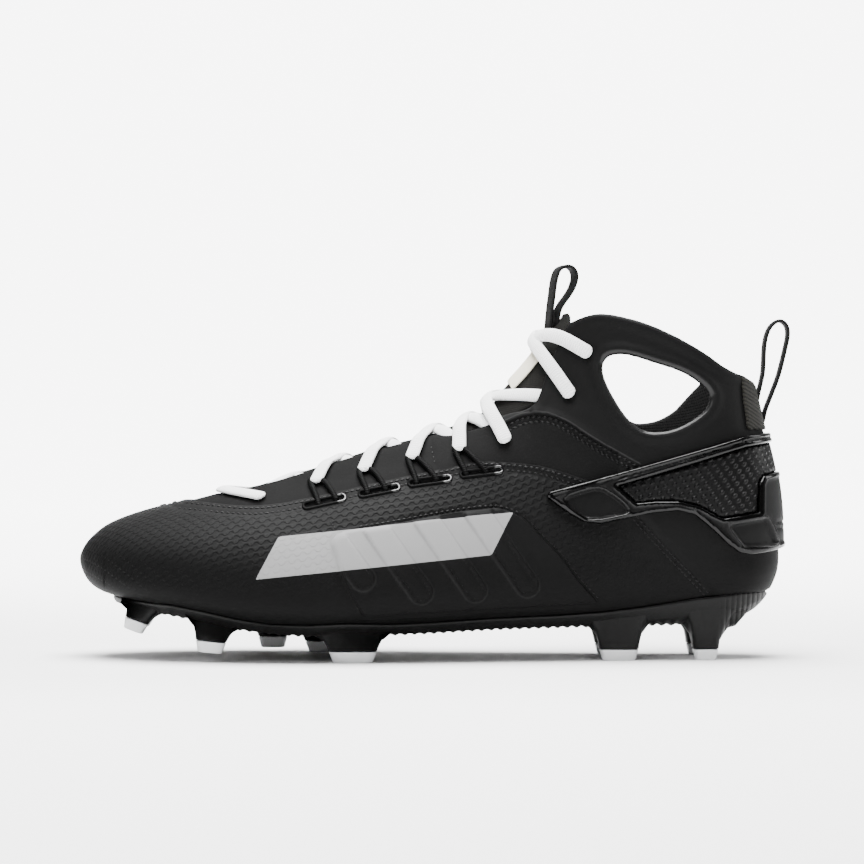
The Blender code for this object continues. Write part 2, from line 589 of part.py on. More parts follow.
def build_lace():
    """The toe bar, the crossings and the cords that hold the lace."""
    places = []
    for x, z, lift in EYELETS:
        places.append({side: (*locate(x, z, side), lift) for side in (-1, 1)})
    first = places[0]
    front = first[-1][0] - TOE_BAR_FRONT / 23.0
    stops = [(first[-1][0], -first[-1][1]), (front, 0.0), (first[1][0], first[1][1])]
    bend = []
    for t in np.linspace(-1.0, 1.0, 9):
        side = 0 if t < 0 else 2
        bend.append((front + (first[-1][0] - front) * t * t, stops[side][1] * abs(t)))
    wall_tube("lace_toe_bar", "lace", bend, [1.15] * 9, 7, LACE_WIDTH, LACE_THICK, 6)
    last = len(EXITS) - 1
    for k, (x, z, crossing) in enumerate(EXITS):
        strands = []
        for side in (-1, 1):
            start = places[k][side]
            near = start[1] if k else throat(start[0], 1) - 4.0
            section, far = locate(x, z, -side)
            if k < last:
                far = throat(section, 1) - (3.5 if k != 4 else 6.0)
            stops = [(start[0], side * near), (crossing, 0.0), (section, -side * far)]
            lifts = [start[2], 1.6 + 0.35 * side + 1.1 * (k > 4), 1.5 if k < 5 else 2.3]
            if k == 0:
                lifts = [ON_TONGUE, ON_TONGUE + 0.4 + 0.35 * side, ON_TONGUE]
            count = 5 + 2 * (k > 4)
            strands.append(wall_tube("lace_cross_%d" % (k + 1), "lace", stops, lifts, count,
                                     LACE_WIDTH, LACE_THICK, 6))
        combine(strands[0], strands[1], "UNION")
    for k, slot in enumerate(SLOTS):
        row = dict(zip(SLOT_COLUMNS, slot))
        for side, word in ((-1, "lateral"), (1, "medial")):
            top = places[k + 1][side]
            front = locate(row["front_x"], row["front_z"], side)
            back = locate(row["back_x"], row["back_z"], side)
            peak = top[1] + 2.6
            stops = [(front[0], side * front[1]), (top[0] - 0.06, side * (peak + 1.0)),
                     (top[0], side * peak), (top[0] + 0.06, side * (peak + 1.0)),
                     (back[0], side * back[1])]
            wall_tube("lace_loop_%s_%d" % (word, k + 1), "cord", stops, [1.4, 1.0, 1.0, 1.0, 1.4], 7,
                      2 * CORD_RADIUS, 2 * CORD_RADIUS, 4)


def main():
    for old in list(bpy.data.objects):
        bpy.data.objects.remove(old)
    build_upper()
    build_outsole()
    build_inside()
    build_heel()
    build_loops()
    build_lace()


main()
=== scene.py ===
# %% [markdown]
# # A lacrosse cleat, dressed for its picture
# The CAD model fixes the size and the place of every piece of this left shoe.
# This lesson gives those pieces their looks: soft edges, sewn seams, embossed skin, glossy plastic.
# We load the packed frame first and keep its box, because nothing we add may change the shoe's size.

# %% Load the packed frame
import math

import bmesh
import bpy
import numpy as np
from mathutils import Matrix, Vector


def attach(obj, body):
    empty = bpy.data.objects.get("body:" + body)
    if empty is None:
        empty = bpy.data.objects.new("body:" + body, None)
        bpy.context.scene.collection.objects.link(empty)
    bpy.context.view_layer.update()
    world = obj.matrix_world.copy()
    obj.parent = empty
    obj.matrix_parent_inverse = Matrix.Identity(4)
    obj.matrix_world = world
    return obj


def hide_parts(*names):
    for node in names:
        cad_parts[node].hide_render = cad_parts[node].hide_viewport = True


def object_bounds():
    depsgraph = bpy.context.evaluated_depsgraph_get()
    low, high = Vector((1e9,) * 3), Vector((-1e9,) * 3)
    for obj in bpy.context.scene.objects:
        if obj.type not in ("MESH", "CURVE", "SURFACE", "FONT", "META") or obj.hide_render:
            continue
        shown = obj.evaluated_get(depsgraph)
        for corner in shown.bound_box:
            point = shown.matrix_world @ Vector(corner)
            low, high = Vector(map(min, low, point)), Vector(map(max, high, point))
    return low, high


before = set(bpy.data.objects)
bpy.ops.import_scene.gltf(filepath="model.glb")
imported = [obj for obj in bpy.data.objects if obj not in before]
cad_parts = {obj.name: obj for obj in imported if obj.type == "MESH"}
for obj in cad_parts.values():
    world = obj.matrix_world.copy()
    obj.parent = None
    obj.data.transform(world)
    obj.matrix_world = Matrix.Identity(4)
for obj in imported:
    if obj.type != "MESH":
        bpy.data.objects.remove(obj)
cad_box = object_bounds()
MM = 0.001
LATERAL, MEDIAL = -1, 1
box_mm = [round(1000 * v) for v in cad_box[1] - cad_box[0]]
print("frame:", len(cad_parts), "nodes, size in mm", box_mm)

# %% [markdown]
# ## The picture
# The shoe is seen level and square to its outer side, from far away, so a long lens keeps it flat.
# The camera stands as high as the middle of the picture, which puts the floor at a shallow angle.

# %% Camera
CAMERA_AT = (-0.0006, -1.35, 0.0929)
LENS = 136.0

bpy.ops.object.camera_add(location=CAMERA_AT, rotation=(math.pi / 2, 0.0, 0.0))
camera = bpy.context.object
camera.data.lens = LENS
camera.data.sensor_width = 36.0
camera.data.clip_start = 0.05
bpy.context.scene.camera = camera
print("camera at", CAMERA_AT, "lens", LENS)

# %% [markdown]
# A studio sweep is one sheet that runs flat under the shoe and then curves up behind it, so there is
# no corner to see. We add a plane, extrude its back edge upwards and round the fold with a bevel.

# %% Floor and backdrop
SWEEP_SIZE = 8.0
SWEEP_HEIGHT = 4.0
FOLD = 1.6


def select_only(*pieces):
    """Just these pieces selected, the first one active, so that an operator acts on them alone."""
    bpy.ops.object.select_all(action="DESELECT")
    for piece in pieces:
        piece.select_set(True)
    if pieces:
        bpy.context.view_layer.objects.active = pieces[0]


select_only()
bpy.ops.mesh.primitive_plane_add(size=SWEEP_SIZE, location=(0.0, 0.0, 0.0))
sweep = bpy.context.object
sweep.name = "studio_sweep"
bpy.ops.object.mode_set(mode="EDIT")
bpy.ops.mesh.select_mode(type="EDGE")
bpy.ops.mesh.select_all(action="DESELECT")
bpy.ops.object.mode_set(mode="OBJECT")
for edge in sweep.data.edges:
    edge.select = all(sweep.data.vertices[v].co.y > 1.0 for v in edge.vertices)
bpy.ops.object.mode_set(mode="EDIT")
bpy.ops.mesh.extrude_region_move(TRANSFORM_OT_translate={"value": (0.0, 0.0, SWEEP_HEIGHT)})
bpy.ops.object.mode_set(mode="OBJECT")
fold = sweep.modifiers.new("fold", "BEVEL")
fold.width = FOLD
fold.segments = 24
bpy.ops.object.modifier_apply(modifier=fold.name)
bpy.ops.object.shade_smooth()
print("sweep:", len(sweep.data.polygons), "faces")

# %% [markdown]
# A lamp with a large face gives soft light. The widest one hangs straight above the shoe and draws soft
# lines on its upper edges. A small one at the toe, on the camera's side, opens the dark skin, and a
# tall one behind the heel lights its back. A pale surround fills the shadows.

# %% Lamps
LAMP_COLUMNS = ("name", "place", "aim", "size_x", "size_y", "watts")
LAMPS = (
    ("top", (-0.05, 0.0, 1.4), (-0.05, 0.0, 0.0), 1.5, 1.0, 125.0),
    ("front", (-0.75, -1.0, 0.95), (0.0, 0.0, 0.06), 0.5, 0.5, 6.0),
    ("heel", (0.95, 0.25, 0.55), (0.05, 0.0, 0.06), 0.35, 0.8, 6.0),
)
SURROUND_COLOUR = (0.95, 0.96, 0.97, 1.0)
SURROUND_STRENGTH = 0.17

for lamp in LAMPS:
    row = dict(zip(LAMP_COLUMNS, lamp))
    bpy.ops.object.light_add(type="AREA", location=row["place"])
    light = bpy.context.object
    light.name = "lamp_" + row["name"]
    light.data.shape = "RECTANGLE"
    light.data.size = row["size_x"]
    light.data.size_y = row["size_y"]
    light.data.energy = row["watts"]
    aim = np.array(row["aim"]) - np.array(row["place"])
    tilt = math.acos(-aim[2] / np.linalg.norm(aim))
    light.rotation_euler = (tilt, 0.0, math.atan2(aim[1], aim[0]) - math.pi / 2)
world = bpy.data.worlds.new("surround")
world.use_nodes = True
background = world.node_tree.nodes["Background"].inputs
background["Color"].default_value = SURROUND_COLOUR
background["Strength"].default_value = SURROUND_STRENGTH
bpy.context.scene.world = world
print("lamps:", [lamp[0] for lamp in LAMPS])

# %% [markdown]
# ## The last
# A shoemaker builds a shoe on a last, a solid foot. Ours is a short table of half sections that runs
# from the toe tip round the heel and up to the collar. Any point of the shoe's wall then has two
# addresses: its section, and its distance in millimetres from the ridge on top along that section.

# %% The last's table
SECTION_COLUMNS = ("top_x", "top_z", "low_x", "low_z", "spine_y", "lateral", "medial",
                   "widest", "top_power", "low_power")
SECTIONS = (
    (-146.6, 40.5, -146.6, 40.5, 5.5, 0.0, 0.0, 0.46, 2.0, 2.0),
    (-144.8, 45.6, -144.8, 34.6, 5.5, 11.5, 11.0, 0.44, 2.0, 2.2),
    (-140.8, 50.4, -140.8, 29.6, 5.3, 19.5, 18.5, 0.42, 2.0, 2.6),
    (-133.5, 55.6, -133.5, 26.2, 5.0, 28.0, 26.0, 0.39, 2.0, 3.2),
    (-120.0, 60.6, -120.0, 23.6, 4.3, 37.0, 34.0, 0.36, 2.0, 4.0),
    (-100.0, 65.6, -100.0, 20.2, 3.4, 45.5, 40.0, 0.34, 2.0, 4.5),
    (-77.0, 71.6, -77.0, 15.6, 2.8, 50.5, 43.8, 0.33, 1.95, 4.6),
    (-52.0, 77.8, -52.0, 13.2, 2.3, 52.0, 44.6, 0.32, 1.85, 4.6),
    (-28.0, 85.6, -28.0, 13.4, 1.8, 51.0, 40.8, 0.32, 1.8, 4.5),
    (-4.0, 93.4, -4.0, 14.0, 1.3, 47.0, 36.3, 0.32, 1.75, 4.4),
    (11.0, 100.6, 24.0, 15.4, 0.9, 42.4, 34.0, 0.33, 1.75, 4.2),
    (21.5, 108.0, 52.0, 16.2, 0.5, 38.4, 33.0, 0.34, 1.8, 4.0),
    (29.5, 115.0, 82.0, 16.8, 0.2, 35.6, 32.6, 0.36, 1.9, 3.6),
    (35.8, 121.8, 109.5, 17.6, 0.0, 34.0, 32.4, 0.40, 2.0, 3.2),
    (40.6, 128.0, 131.0, 22.0, 0.0, 33.4, 32.2, 0.44, 2.1, 2.9),
    (44.0, 133.6, 141.0, 38.0, 0.0, 33.0, 32.0, 0.45, 2.2, 2.6),
    (46.8, 138.8, 142.3, 56.0, 0.0, 32.6, 31.8, 0.46, 2.2, 2.4),
    (49.0, 143.6, 140.2, 76.0, 0.0, 32.2, 31.6, 0.46, 2.2, 2.3),
    (50.8, 148.2, 135.2, 97.0, 0.0, 32.0, 31.6, 0.46, 2.2, 2.2),
    (52.4, 153.0, 130.4, 118.0, 0.0, 32.2, 31.8, 0.46, 2.2, 2.2),
    (53.6, 158.0, 127.0, 136.0, 0.0, 32.6, 32.2, 0.46, 2.2, 2.2),
)
TOP_RING = len(SECTIONS) - 1
print("sections:", len(SECTIONS))

# %% [markdown]
# A curve through the rows gives a section at any place between two of them. Each half section is a
# rounded box, and two powers set how square it is above and below its widest point. We measure it once
# at even steps of arc and keep a fine table, because reading a table is fast.

# %% Sections of the last
STEPS_A_SECTION = 40
SHARES = np.linspace(0.0, 1.0, 161)
HALF_RING = 64
BALL = 7


def unit(ways):
    """Directions at a length of 1."""
    return ways / np.linalg.norm(ways, axis=-1, keepdims=True)


def blend_four(a, b, c, d, t):
    """A smooth curve from b to c that leaves and arrives in line with a and d."""
    square = 2 * a - 5 * b + 4 * c - d
    cube = 3 * b - a - 3 * c + d
    return 0.5 * (2 * b + (c - a) * t + square * t * t + cube * t ** 3)


def rows_at(u):
    """The section table read at any places between its rows.

    Ahead of the toe tip the table goes on as its own mirror image, so that the nose comes out round.
    """
    table = np.array(SECTIONS)
    nose = table[1].copy()
    nose[1], nose[3] = table[1][3], table[1][1]
    nose[5:7] = -table[1][5:7]
    rows = np.vstack([nose, table, 2 * table[-1] - table[-2]])
    k = np.minimum(np.asarray(u).astype(int), TOP_RING - 1)
    t = (np.asarray(u) - k)[:, None]
    return blend_four(rows[k], rows[k + 1], rows[k + 2], rows[k + 3], t)


def half_rings(u, side):
    """Points of half sections from the ridge to the bottom, and their distance along them."""
    row = dict(zip(SECTION_COLUMNS, rows_at(u).T[:, :, None]))
    angle = np.linspace(0.0, math.pi / 2, HALF_RING)[None, :]
    fall = np.clip(np.cos(angle), 0.0, 1.0)
    climb = np.sin(angle)
    m = row["widest"]
    top_p = 2.0 / row["top_power"]
    low_p = 2.0 / row["low_power"]
    rise = np.hstack([m + (1 - m) * fall ** top_p, m - m * climb[:, 1:] ** low_p])
    out = np.hstack([climb ** top_p, fall[:, 1:] ** low_p])
    out = out * (row["lateral"] if side < 0 else row["medial"])
    x = row["low_x"] + rise * (row["top_x"] - row["low_x"])
    z = row["low_z"] + rise * (row["top_z"] - row["low_z"])
    points = np.stack([x, row["spine_y"] + side * out, z], axis=2)
    steps = np.linalg.norm(np.diff(points, axis=1), axis=2)
    return points, np.hstack([np.zeros((len(points), 1)), np.cumsum(steps, axis=1)])


def wall_table(side):
    """Places, outward directions and half girths of one side, on a fine even grid."""
    u = np.linspace(0.0, TOP_RING, TOP_RING * STEPS_A_SECTION + 1)
    points, along = half_rings(u, side)
    even = np.empty((len(u), len(SHARES), 3))
    for i in range(len(u)):
        for axis in range(3):
            even[i, :, axis] = np.interp(SHARES * along[i, -1], along[i], points[i, :, axis])
    normals = np.cross(np.gradient(even, axis=0), np.gradient(even, axis=1)) * side
    normals[:, [0, -1], 1] = 0.0
    normals[0] = (-1.0, 0.0, 0.0)
    return even, unit(normals), along[:, -1]


LAST = {side: wall_table(side) for side in (LATERAL, MEDIAL)}
ball_girth = LAST[LATERAL][2][BALL * STEPS_A_SECTION]
print("last:", LAST[LATERAL][0].shape, "points a side, half girth at the ball", round(ball_girth, 1))

# %% [markdown]
# Two questions come up all the time. Where is the wall at a section and an arc, and which way does it
# face? And which section and arc does the eye see at a place in the side view? The first reads the
# table, the second searches it and then walks the last fraction of a millimetre.

# %% Reading the last
FAR = 1e9
NUDGE_U = 0.02
NUDGE_ARC = 0.3
EDGE_ON = 0.3


def girth(u, side):
    """Half girths of sections, from the ridge to the bottom."""
    return np.interp(u, np.linspace(0.0, TOP_RING, len(LAST[side][2])), LAST[side][2])


def wall(u, arc, side):
    """Places and outward directions of the wall at sections and arcs."""
    places, normals, _ = LAST[side]
    u = np.clip(np.asarray(u, float), 0.0, TOP_RING)
    i = np.minimum(u * STEPS_A_SECTION, len(places) - 1.001)
    j = np.clip(arc / np.maximum(girth(u, side), 1e-6), 0.0, 1.0) * (len(SHARES) - 1.001)
    k, n = i.astype(int), j.astype(int)
    s, t = (i - k)[..., None], (j - n)[..., None]

    def read(table):
        near = table[k, n] * (1 - t) + table[k, n + 1] * t
        far = table[k + 1, n] * (1 - t) + table[k + 1, n + 1] * t
        return near * (1 - s) + far * s

    return read(places), unit(read(normals))


def find(spots, side):
    """Sections and arcs of the wall points seen at x, z from one side."""
    spots = np.atleast_2d(spots)
    table = LAST[side][0][:, :, [0, 2]]
    u, arc = [], []
    for spot in spots:
        gap = ((table - spot) ** 2).sum(axis=2)
        i, j = np.unravel_index(gap.argmin(), gap.shape)
        u.append(i / STEPS_A_SECTION)
        arc.append(SHARES[j] * LAST[side][2][i])
    u, arc = np.array(u), np.array(arc)
    for _ in range(4):
        here = wall(u, arc, side)[0][:, [0, 2]]
        by_u = (wall(u + NUDGE_U, arc, side)[0][:, [0, 2]] - here) / NUDGE_U
        by_arc = (wall(u, arc + NUDGE_ARC, side)[0][:, [0, 2]] - here) / NUDGE_ARC
        miss = spots - here
        area = by_u[:, 0] * by_arc[:, 1] - by_u[:, 1] * by_arc[:, 0]
        area = np.where(np.abs(area) < EDGE_ON, FAR, area)
        u = u + np.clip((miss[:, 0] * by_arc[:, 1] - miss[:, 1] * by_arc[:, 0]) / area, -0.1, 0.1)
        arc = arc + np.clip((by_u[:, 0] * miss[:, 1] - by_u[:, 1] * miss[:, 0]) / area, -1.0, 1.0)
    return u, arc


def read_table(table, at):
    """A table of pairs read at any places between them."""
    return np.interp(at, *np.array(table).T)


ball_side = wall(np.array([float(BALL)]), np.array([60.0]), LATERAL)[0]
print("side of the ball of the foot at", ball_side.round(1))

# %% [markdown]
# Seams and panels are drawn in the side view as lines of a few points. A smooth curve runs through
# them. Where stitches or a tube follow a line, its points are spaced evenly first.

# %% Smooth and even lines
def smooth_line(line, steps, closed=False):
    """A curve through points, with that many steps between two of them."""
    ring = np.array(line, float)
    if closed:
        ring = np.vstack([ring[-1:], ring, ring[:2]])
    else:
        ring = np.vstack([2 * ring[0] - ring[1], ring, 2 * ring[-1] - ring[-2]])
    t = (np.arange(steps) / steps)[:, None]
    runs = [blend_four(*ring[k:k + 4][:, None, :], t) for k in range(len(ring) - 3)]
    out = np.vstack(runs)
    return out if closed else np.vstack([out, ring[-2:-1]])


def run_of(line):
    """Distance along a line at each of its points."""
    return np.concatenate([[0.0], np.cumsum(np.linalg.norm(np.diff(line, axis=0), axis=1))])


def even_line(line, pitch):
    """A line's points at an even pitch."""
    line = np.array(line, float)
    along = run_of(line)
    at = np.arange(0.0, along[-1] + 0.01, pitch)
    return np.stack([np.interp(at, along, line[:, i]) for i in range(line.shape[1])], axis=1)


print("a line of 10 mm at a pitch of 0.5 has", len(even_line([(0.0, 0.0), (10.0, 0.0)], 0.5)), "points")

# %% [markdown]
# A signed distance tells each point of the wall how far inside or outside a panel it lies. A soft step
# or a hump of that distance then makes a ledge, a bead, a groove or a change of colour.

# %% Distances and soft steps
def from_line(x, z, line, closed=False):
    """Distance of points from a line."""
    line = np.array(line)
    ends = np.roll(line, -1, axis=0) if closed else line[1:]
    best = np.full(np.shape(x), FAR)
    for (ax, az), (bx, bz) in zip(line, ends):
        length = (bx - ax) ** 2 + (bz - az) ** 2
        t = np.clip(((x - ax) * (bx - ax) + (z - az) * (bz - az)) / max(length, 1e-9), 0.0, 1.0)
        best = np.minimum(best, np.hypot(x - ax - t * (bx - ax), z - az - t * (bz - az)))
    return best


def within(x, z, outline):
    """Distance of points from a closed outline, positive inside it."""
    inside = np.zeros(np.shape(x), bool)
    for (ax, az), (bx, bz) in zip(outline, np.roll(outline, -1, axis=0)):
        if az != bz:
            inside ^= ((az > z) != (bz > z)) & (x < (bx - ax) * (z - az) / (bz - az) + ax)
    return from_line(x, z, outline, True) * np.where(inside, 1.0, -1.0)


def ramp(value, start, end):
    """A soft step from 0 at start to 1 at end."""
    t = np.clip((value - start) / (end - start), 0.0, 1.0)
    return t * t * (3 - 2 * t)


def hump(value, middle, half):
    """A soft hump of height 1."""
    t = np.clip((value - middle) / half, -1.0, 1.0)
    return (1 - t * t) ** 2


def rolled(depth, radius):
    """How far a rounded edge falls away near its rim."""
    d = np.clip(radius - depth, 0.0, radius)
    return radius - np.sqrt(radius ** 2 - d ** 2)


print("half-way up a step:", ramp(0.5, 0.0, 1.0), "on top of a hump:", hump(0.0, 0.0, 1.0))

# %% [markdown]
# ## Pieces of wall
# The upper, the heel clip, the plate and the tongue are all pieces of the same wall. Each starts as a
# grid primitive whose points move onto the last. Its outline is scored into the mesh, the waste is
# deleted, and a Solidify modifier gives it a second skin. Then both skins take their own lifts, which
# make steps, beads and rounded rims.

# %% Grids, notes and joins
WELD = 0.00002


def new_grid(name, columns, rows, places):
    """A grid primitive with that many cells, its points moved to places in millimetres."""
    select_only()
    bpy.ops.mesh.primitive_grid_add(x_subdivisions=columns, y_subdivisions=rows, size=1.0)
    made = bpy.context.object
    made.name = name
    made.data.vertices.foreach_set("co", (np.asarray(places) * MM).ravel())
    return made


def note(made, word, values):
    """A number for each point, which a finish can read."""
    full = np.resize(values, len(made.data.vertices))
    made.data.attributes.new(word, "FLOAT", "POINT").data.foreach_set("value", full.astype(np.float32))


def set_uv(made, along, across):
    """A UV map from two numbers for each point."""
    corners = np.empty(len(made.data.loops), np.int32)
    made.data.loops.foreach_get("vertex_index", corners)
    spread = np.stack([along[corners], across[corners]], axis=1)
    made.data.uv_layers[0].data.foreach_set("uv", spread.ravel())


def gather(name, pieces):
    """Several pieces joined into one object."""
    select_only(*pieces)
    bpy.ops.object.join()
    pieces[0].name = name
    return pieces[0]


def mend(made, weld=0.0, outward=False):
    """Points closer than weld become one, and with outward all faces turn out."""
    select_only(made)
    bpy.ops.object.mode_set(mode="EDIT")
    bpy.ops.mesh.select_all(action="SELECT")
    if weld:
        bpy.ops.mesh.remove_doubles(threshold=weld)
    if outward:
        bpy.ops.mesh.normals_make_consistent(inside=False)
    bpy.ops.object.mode_set(mode="OBJECT")


print("points closer than", WELD / MM, "mm are welded")

# %% [markdown]
# Every point of a strip keeps its address as three notes: section, arc and side. They survive every
# cut, so we can always ask where a point belongs on the last, even for points made by a cut.

# %% A strip of grid on the last
def strip(name, side, u, arcs):
    """A grid laid on one side of the last: a row for each section, a column for each arc."""
    rows, columns = arcs.shape
    every_u = np.repeat(u, columns)
    places, ways = wall(every_u, arcs.ravel(), side)
    made = new_grid(name, columns - 1, rows - 1, places)
    for word, values in (("section", every_u), ("arc", arcs.ravel()), ("side", float(side))):
        note(made, word, values)
    made.data.update()
    middle = made.data.polygons[len(made.data.polygons) // 2]
    if np.dot(middle.normal, ways[middle.vertices[0]]) < 0:
        made.data.flip_normals()
    return made


def pair(name, u, start, end, shares):
    """Both sides of a piece of wall, sewn together where they meet."""
    halves = []
    for side in (LATERAL, MEDIAL):
        first, last = start(u, side), end(u, side)
        halves.append(strip(name, side, u, first[:, None] + (last - first)[:, None] * shares[None, :]))
    made = gather(name, halves)
    mend(made, weld=WELD)
    return made


def even_sections(first, last, pitch, share=0.5):
    """Sections about a pitch apart on the lateral side, with both ends."""
    u = np.linspace(0.0, TOP_RING, len(LAST[LATERAL][2]))
    along = run_of(LAST[LATERAL][0][:, int(share * (len(SHARES) - 1))])
    low, high = np.interp([first, last], u, along)
    return np.interp(np.linspace(low, high, max(3, int((high - low) / pitch))), along, u)


print("sections 2 mm apart:", len(even_sections(0.0, TOP_RING, 2.0)))

# %% [markdown]
# After a cut we ask a piece for the addresses of its points again. From them come the points' places
# on the last, the wall's directions there, and where the eye sees the points from the side.

# %% Addresses of a piece
def addresses(made):
    """Section, arc and side of every point of a piece of wall."""
    out = []
    for word in ("section", "arc", "side"):
        values = np.empty(len(made.data.vertices), np.float32)
        made.data.attributes[word].data.foreach_get("value", values)
        out.append(values.astype(float))
    return out


def on_wall(u, arc, side):
    """Places and directions for points of both sides at once."""
    places = np.empty((len(u), 3))
    ways = np.empty((len(u), 3))
    for one in (LATERAL, MEDIAL):
        mine = np.sign(side) == one
        places[mine], ways[mine] = wall(u[mine], arc[mine], one)
    return places, ways


def side_view(made):
    """Where the points of a piece of wall are seen from the side, and the side that each is on."""
    u, arc, side = addresses(made)
    places, _ = on_wall(u, arc, side)
    return places[:, 0], places[:, 2], side


toe_ridge = on_wall(np.array([1.0]), np.array([0.0]), np.array([LATERAL]))[0]
print("ridge at the first section:", toe_ridge.round(1))

# %% [markdown]
# A knife needs a window, so the script scores a mesh itself. Every edge that a line crosses is split
# there, the new points of a face are joined, and the part on the wrong side can be deleted.

# %% Scoring a line into a mesh
SNAP = 0.12


def score(made, values, cut_away=False):
    """New edges where the values change sign; with cut_away the negative side is deleted."""
    values = np.where(np.abs(values) < SNAP, 0.0, values)
    grid = bmesh.new()
    grid.from_mesh(made.data)
    grid.verts.ensure_lookup_table()
    on_line = [v for v in grid.verts if values[v.index] == 0.0]
    waste = [v for v in grid.verts if values[v.index] < 0.0]
    crossed = []
    for edge in grid.edges:
        a, b = values[edge.verts[0].index], values[edge.verts[1].index]
        if a * b < 0:
            crossed.append((edge, edge.verts[0], a / (a - b)))
    for edge, first, share in crossed:
        on_line.append(bmesh.utils.edge_split(edge, first, share)[1])
    bmesh.ops.connect_verts(grid, verts=on_line)
    if cut_away:
        bmesh.ops.delete(grid, geom=waste, context="VERTS")
        loose = [v for v in grid.verts if not v.link_faces]
        bmesh.ops.delete(grid, geom=loose, context="VERTS")
    grid.to_mesh(made.data)
    grid.free()


def score_at(made, measure, *levels, cut_away=False):
    """A measure of the side view scored into a piece of wall at each of the levels."""
    for level in levels:
        score(made, measure(*side_view(made)) - level, cut_away)


print("values closer than", SNAP, "to a line snap to it")

# %% [markdown]
# The second skin comes from Solidify, which also closes the rims. Where both skins have been lifted to
# meet, the rim's points are welded, and the shading is smooth except at sharp folds.

# %% Two skins
PATTERN_COLUMN = 72
FOLD_ANGLE = math.radians(50)


def thicken(made, outer, inner):
    """A second skin by Solidify, then both skins moved to their lifts along the wall's directions."""
    places, ways = on_wall(*addresses(made))
    count = len(places)
    select_only(made)
    skin = made.modifiers.new("skin", "SOLIDIFY")
    skin.thickness = MM
    skin.offset = -1.0
    bpy.ops.object.modifier_apply(modifier=skin.name)
    lifts = [np.broadcast_to(lift, count)[:, None] for lift in (outer, inner)]
    points = np.vstack([places + ways * lift for lift in lifts]) * MM
    made.data.vertices.foreach_set("co", points.ravel())
    is_inner = [all(v >= count for v in face.vertices) for face in made.data.polygons]
    made.data.polygons.foreach_set("material_index", np.array(is_inner, np.int32))
    made.data.update()


def lay_pattern(made):
    """A UV map in millimetres: along the shoe, and along the wall from the ridge."""
    u, arc, _ = addresses(made)
    along = run_of(LAST[LATERAL][0][:, PATTERN_COLUMN])
    set_uv(made, np.interp(u, np.linspace(0.0, TOP_RING, len(along)), along), arc)


def build_up(made, outer, inner, **notes):
    """A scored sheet becomes a closed piece: skins, notes, UV map and rims."""
    thicken(made, outer, inner)
    for word, values in notes.items():
        note(made, word, values)
    lay_pattern(made)
    mend(made, weld=WELD / 2)
    bpy.ops.object.shade_smooth_by_angle(angle=FOLD_ANGLE)
    print(made.name, len(made.data.polygons), "faces")


print("folds sharper than", round(math.degrees(FOLD_ANGLE)), "degrees stay sharp")

# %% [markdown]
# ## Finishes
# A finish is a small sum of patterns: grain, scales, weave, wear. Node trees for such sums grow long, so
# we wrap each value in a class with arithmetic. A line of Python then reads like the formula itself.

# %% Values with arithmetic
class Value:
    """One number or colour in a finish; plus, minus, times and over make Math nodes."""

    def __init__(self, finish, socket):
        self.finish = finish
        self.socket = socket

    def maths(self, operation, *others):
        return self.finish.node("Math", (self,) + others, operation=operation)

    def __add__(self, other):
        return self.maths("ADD", other)

    def __sub__(self, other):
        return self.maths("SUBTRACT", other)

    def __mul__(self, other):
        return self.maths("MULTIPLY", other)

    def __truediv__(self, other):
        return self.maths("DIVIDE", other)

    def __radd__(self, other):
        return self.finish.node("Math", (other, self), operation="ADD")

    def __rsub__(self, other):
        return self.finish.node("Math", (other, self), operation="SUBTRACT")

    def __rmul__(self, other):
        return self.finish.node("Math", (other, self), operation="MULTIPLY")

    def __rtruediv__(self, other):
        return self.finish.node("Math", (other, self), operation="DIVIDE")

    def __abs__(self):
        return self.maths("ABSOLUTE")

    def least(self, other):
        return self.maths("MINIMUM", other)

    def wave(self, length):
        return (self * (2 * math.pi / length)).maths("SINE")

    def repeat(self, length):
        """Distance from the middle of a cell of that length."""
        return (self / length).maths("FRACT") * length - length / 2

    def step(self, start, end):
        return self.finish.node("MapRange", (self, start, end, 0.0, 1.0), interpolation_type="SMOOTHSTEP")

    def choose(self, one, two):
        """A colour: the first at 0, the second at 1."""
        return self.finish.node("Mix", {0: self, 6: one, 7: two}, out=2, data_type="RGBA")

    def axes(self):
        return [self.finish.node("SeparateXYZ", (self,), out=k) for k in range(3)]


print("a value can", [word for word in vars(Value) if not word.startswith("_")])

# %% [markdown]
# A finish holds one material. It makes nodes, sets the main shader's inputs and offers the sources
# that our patterns start from: the place on the object, the UV map, a note, soft noise.

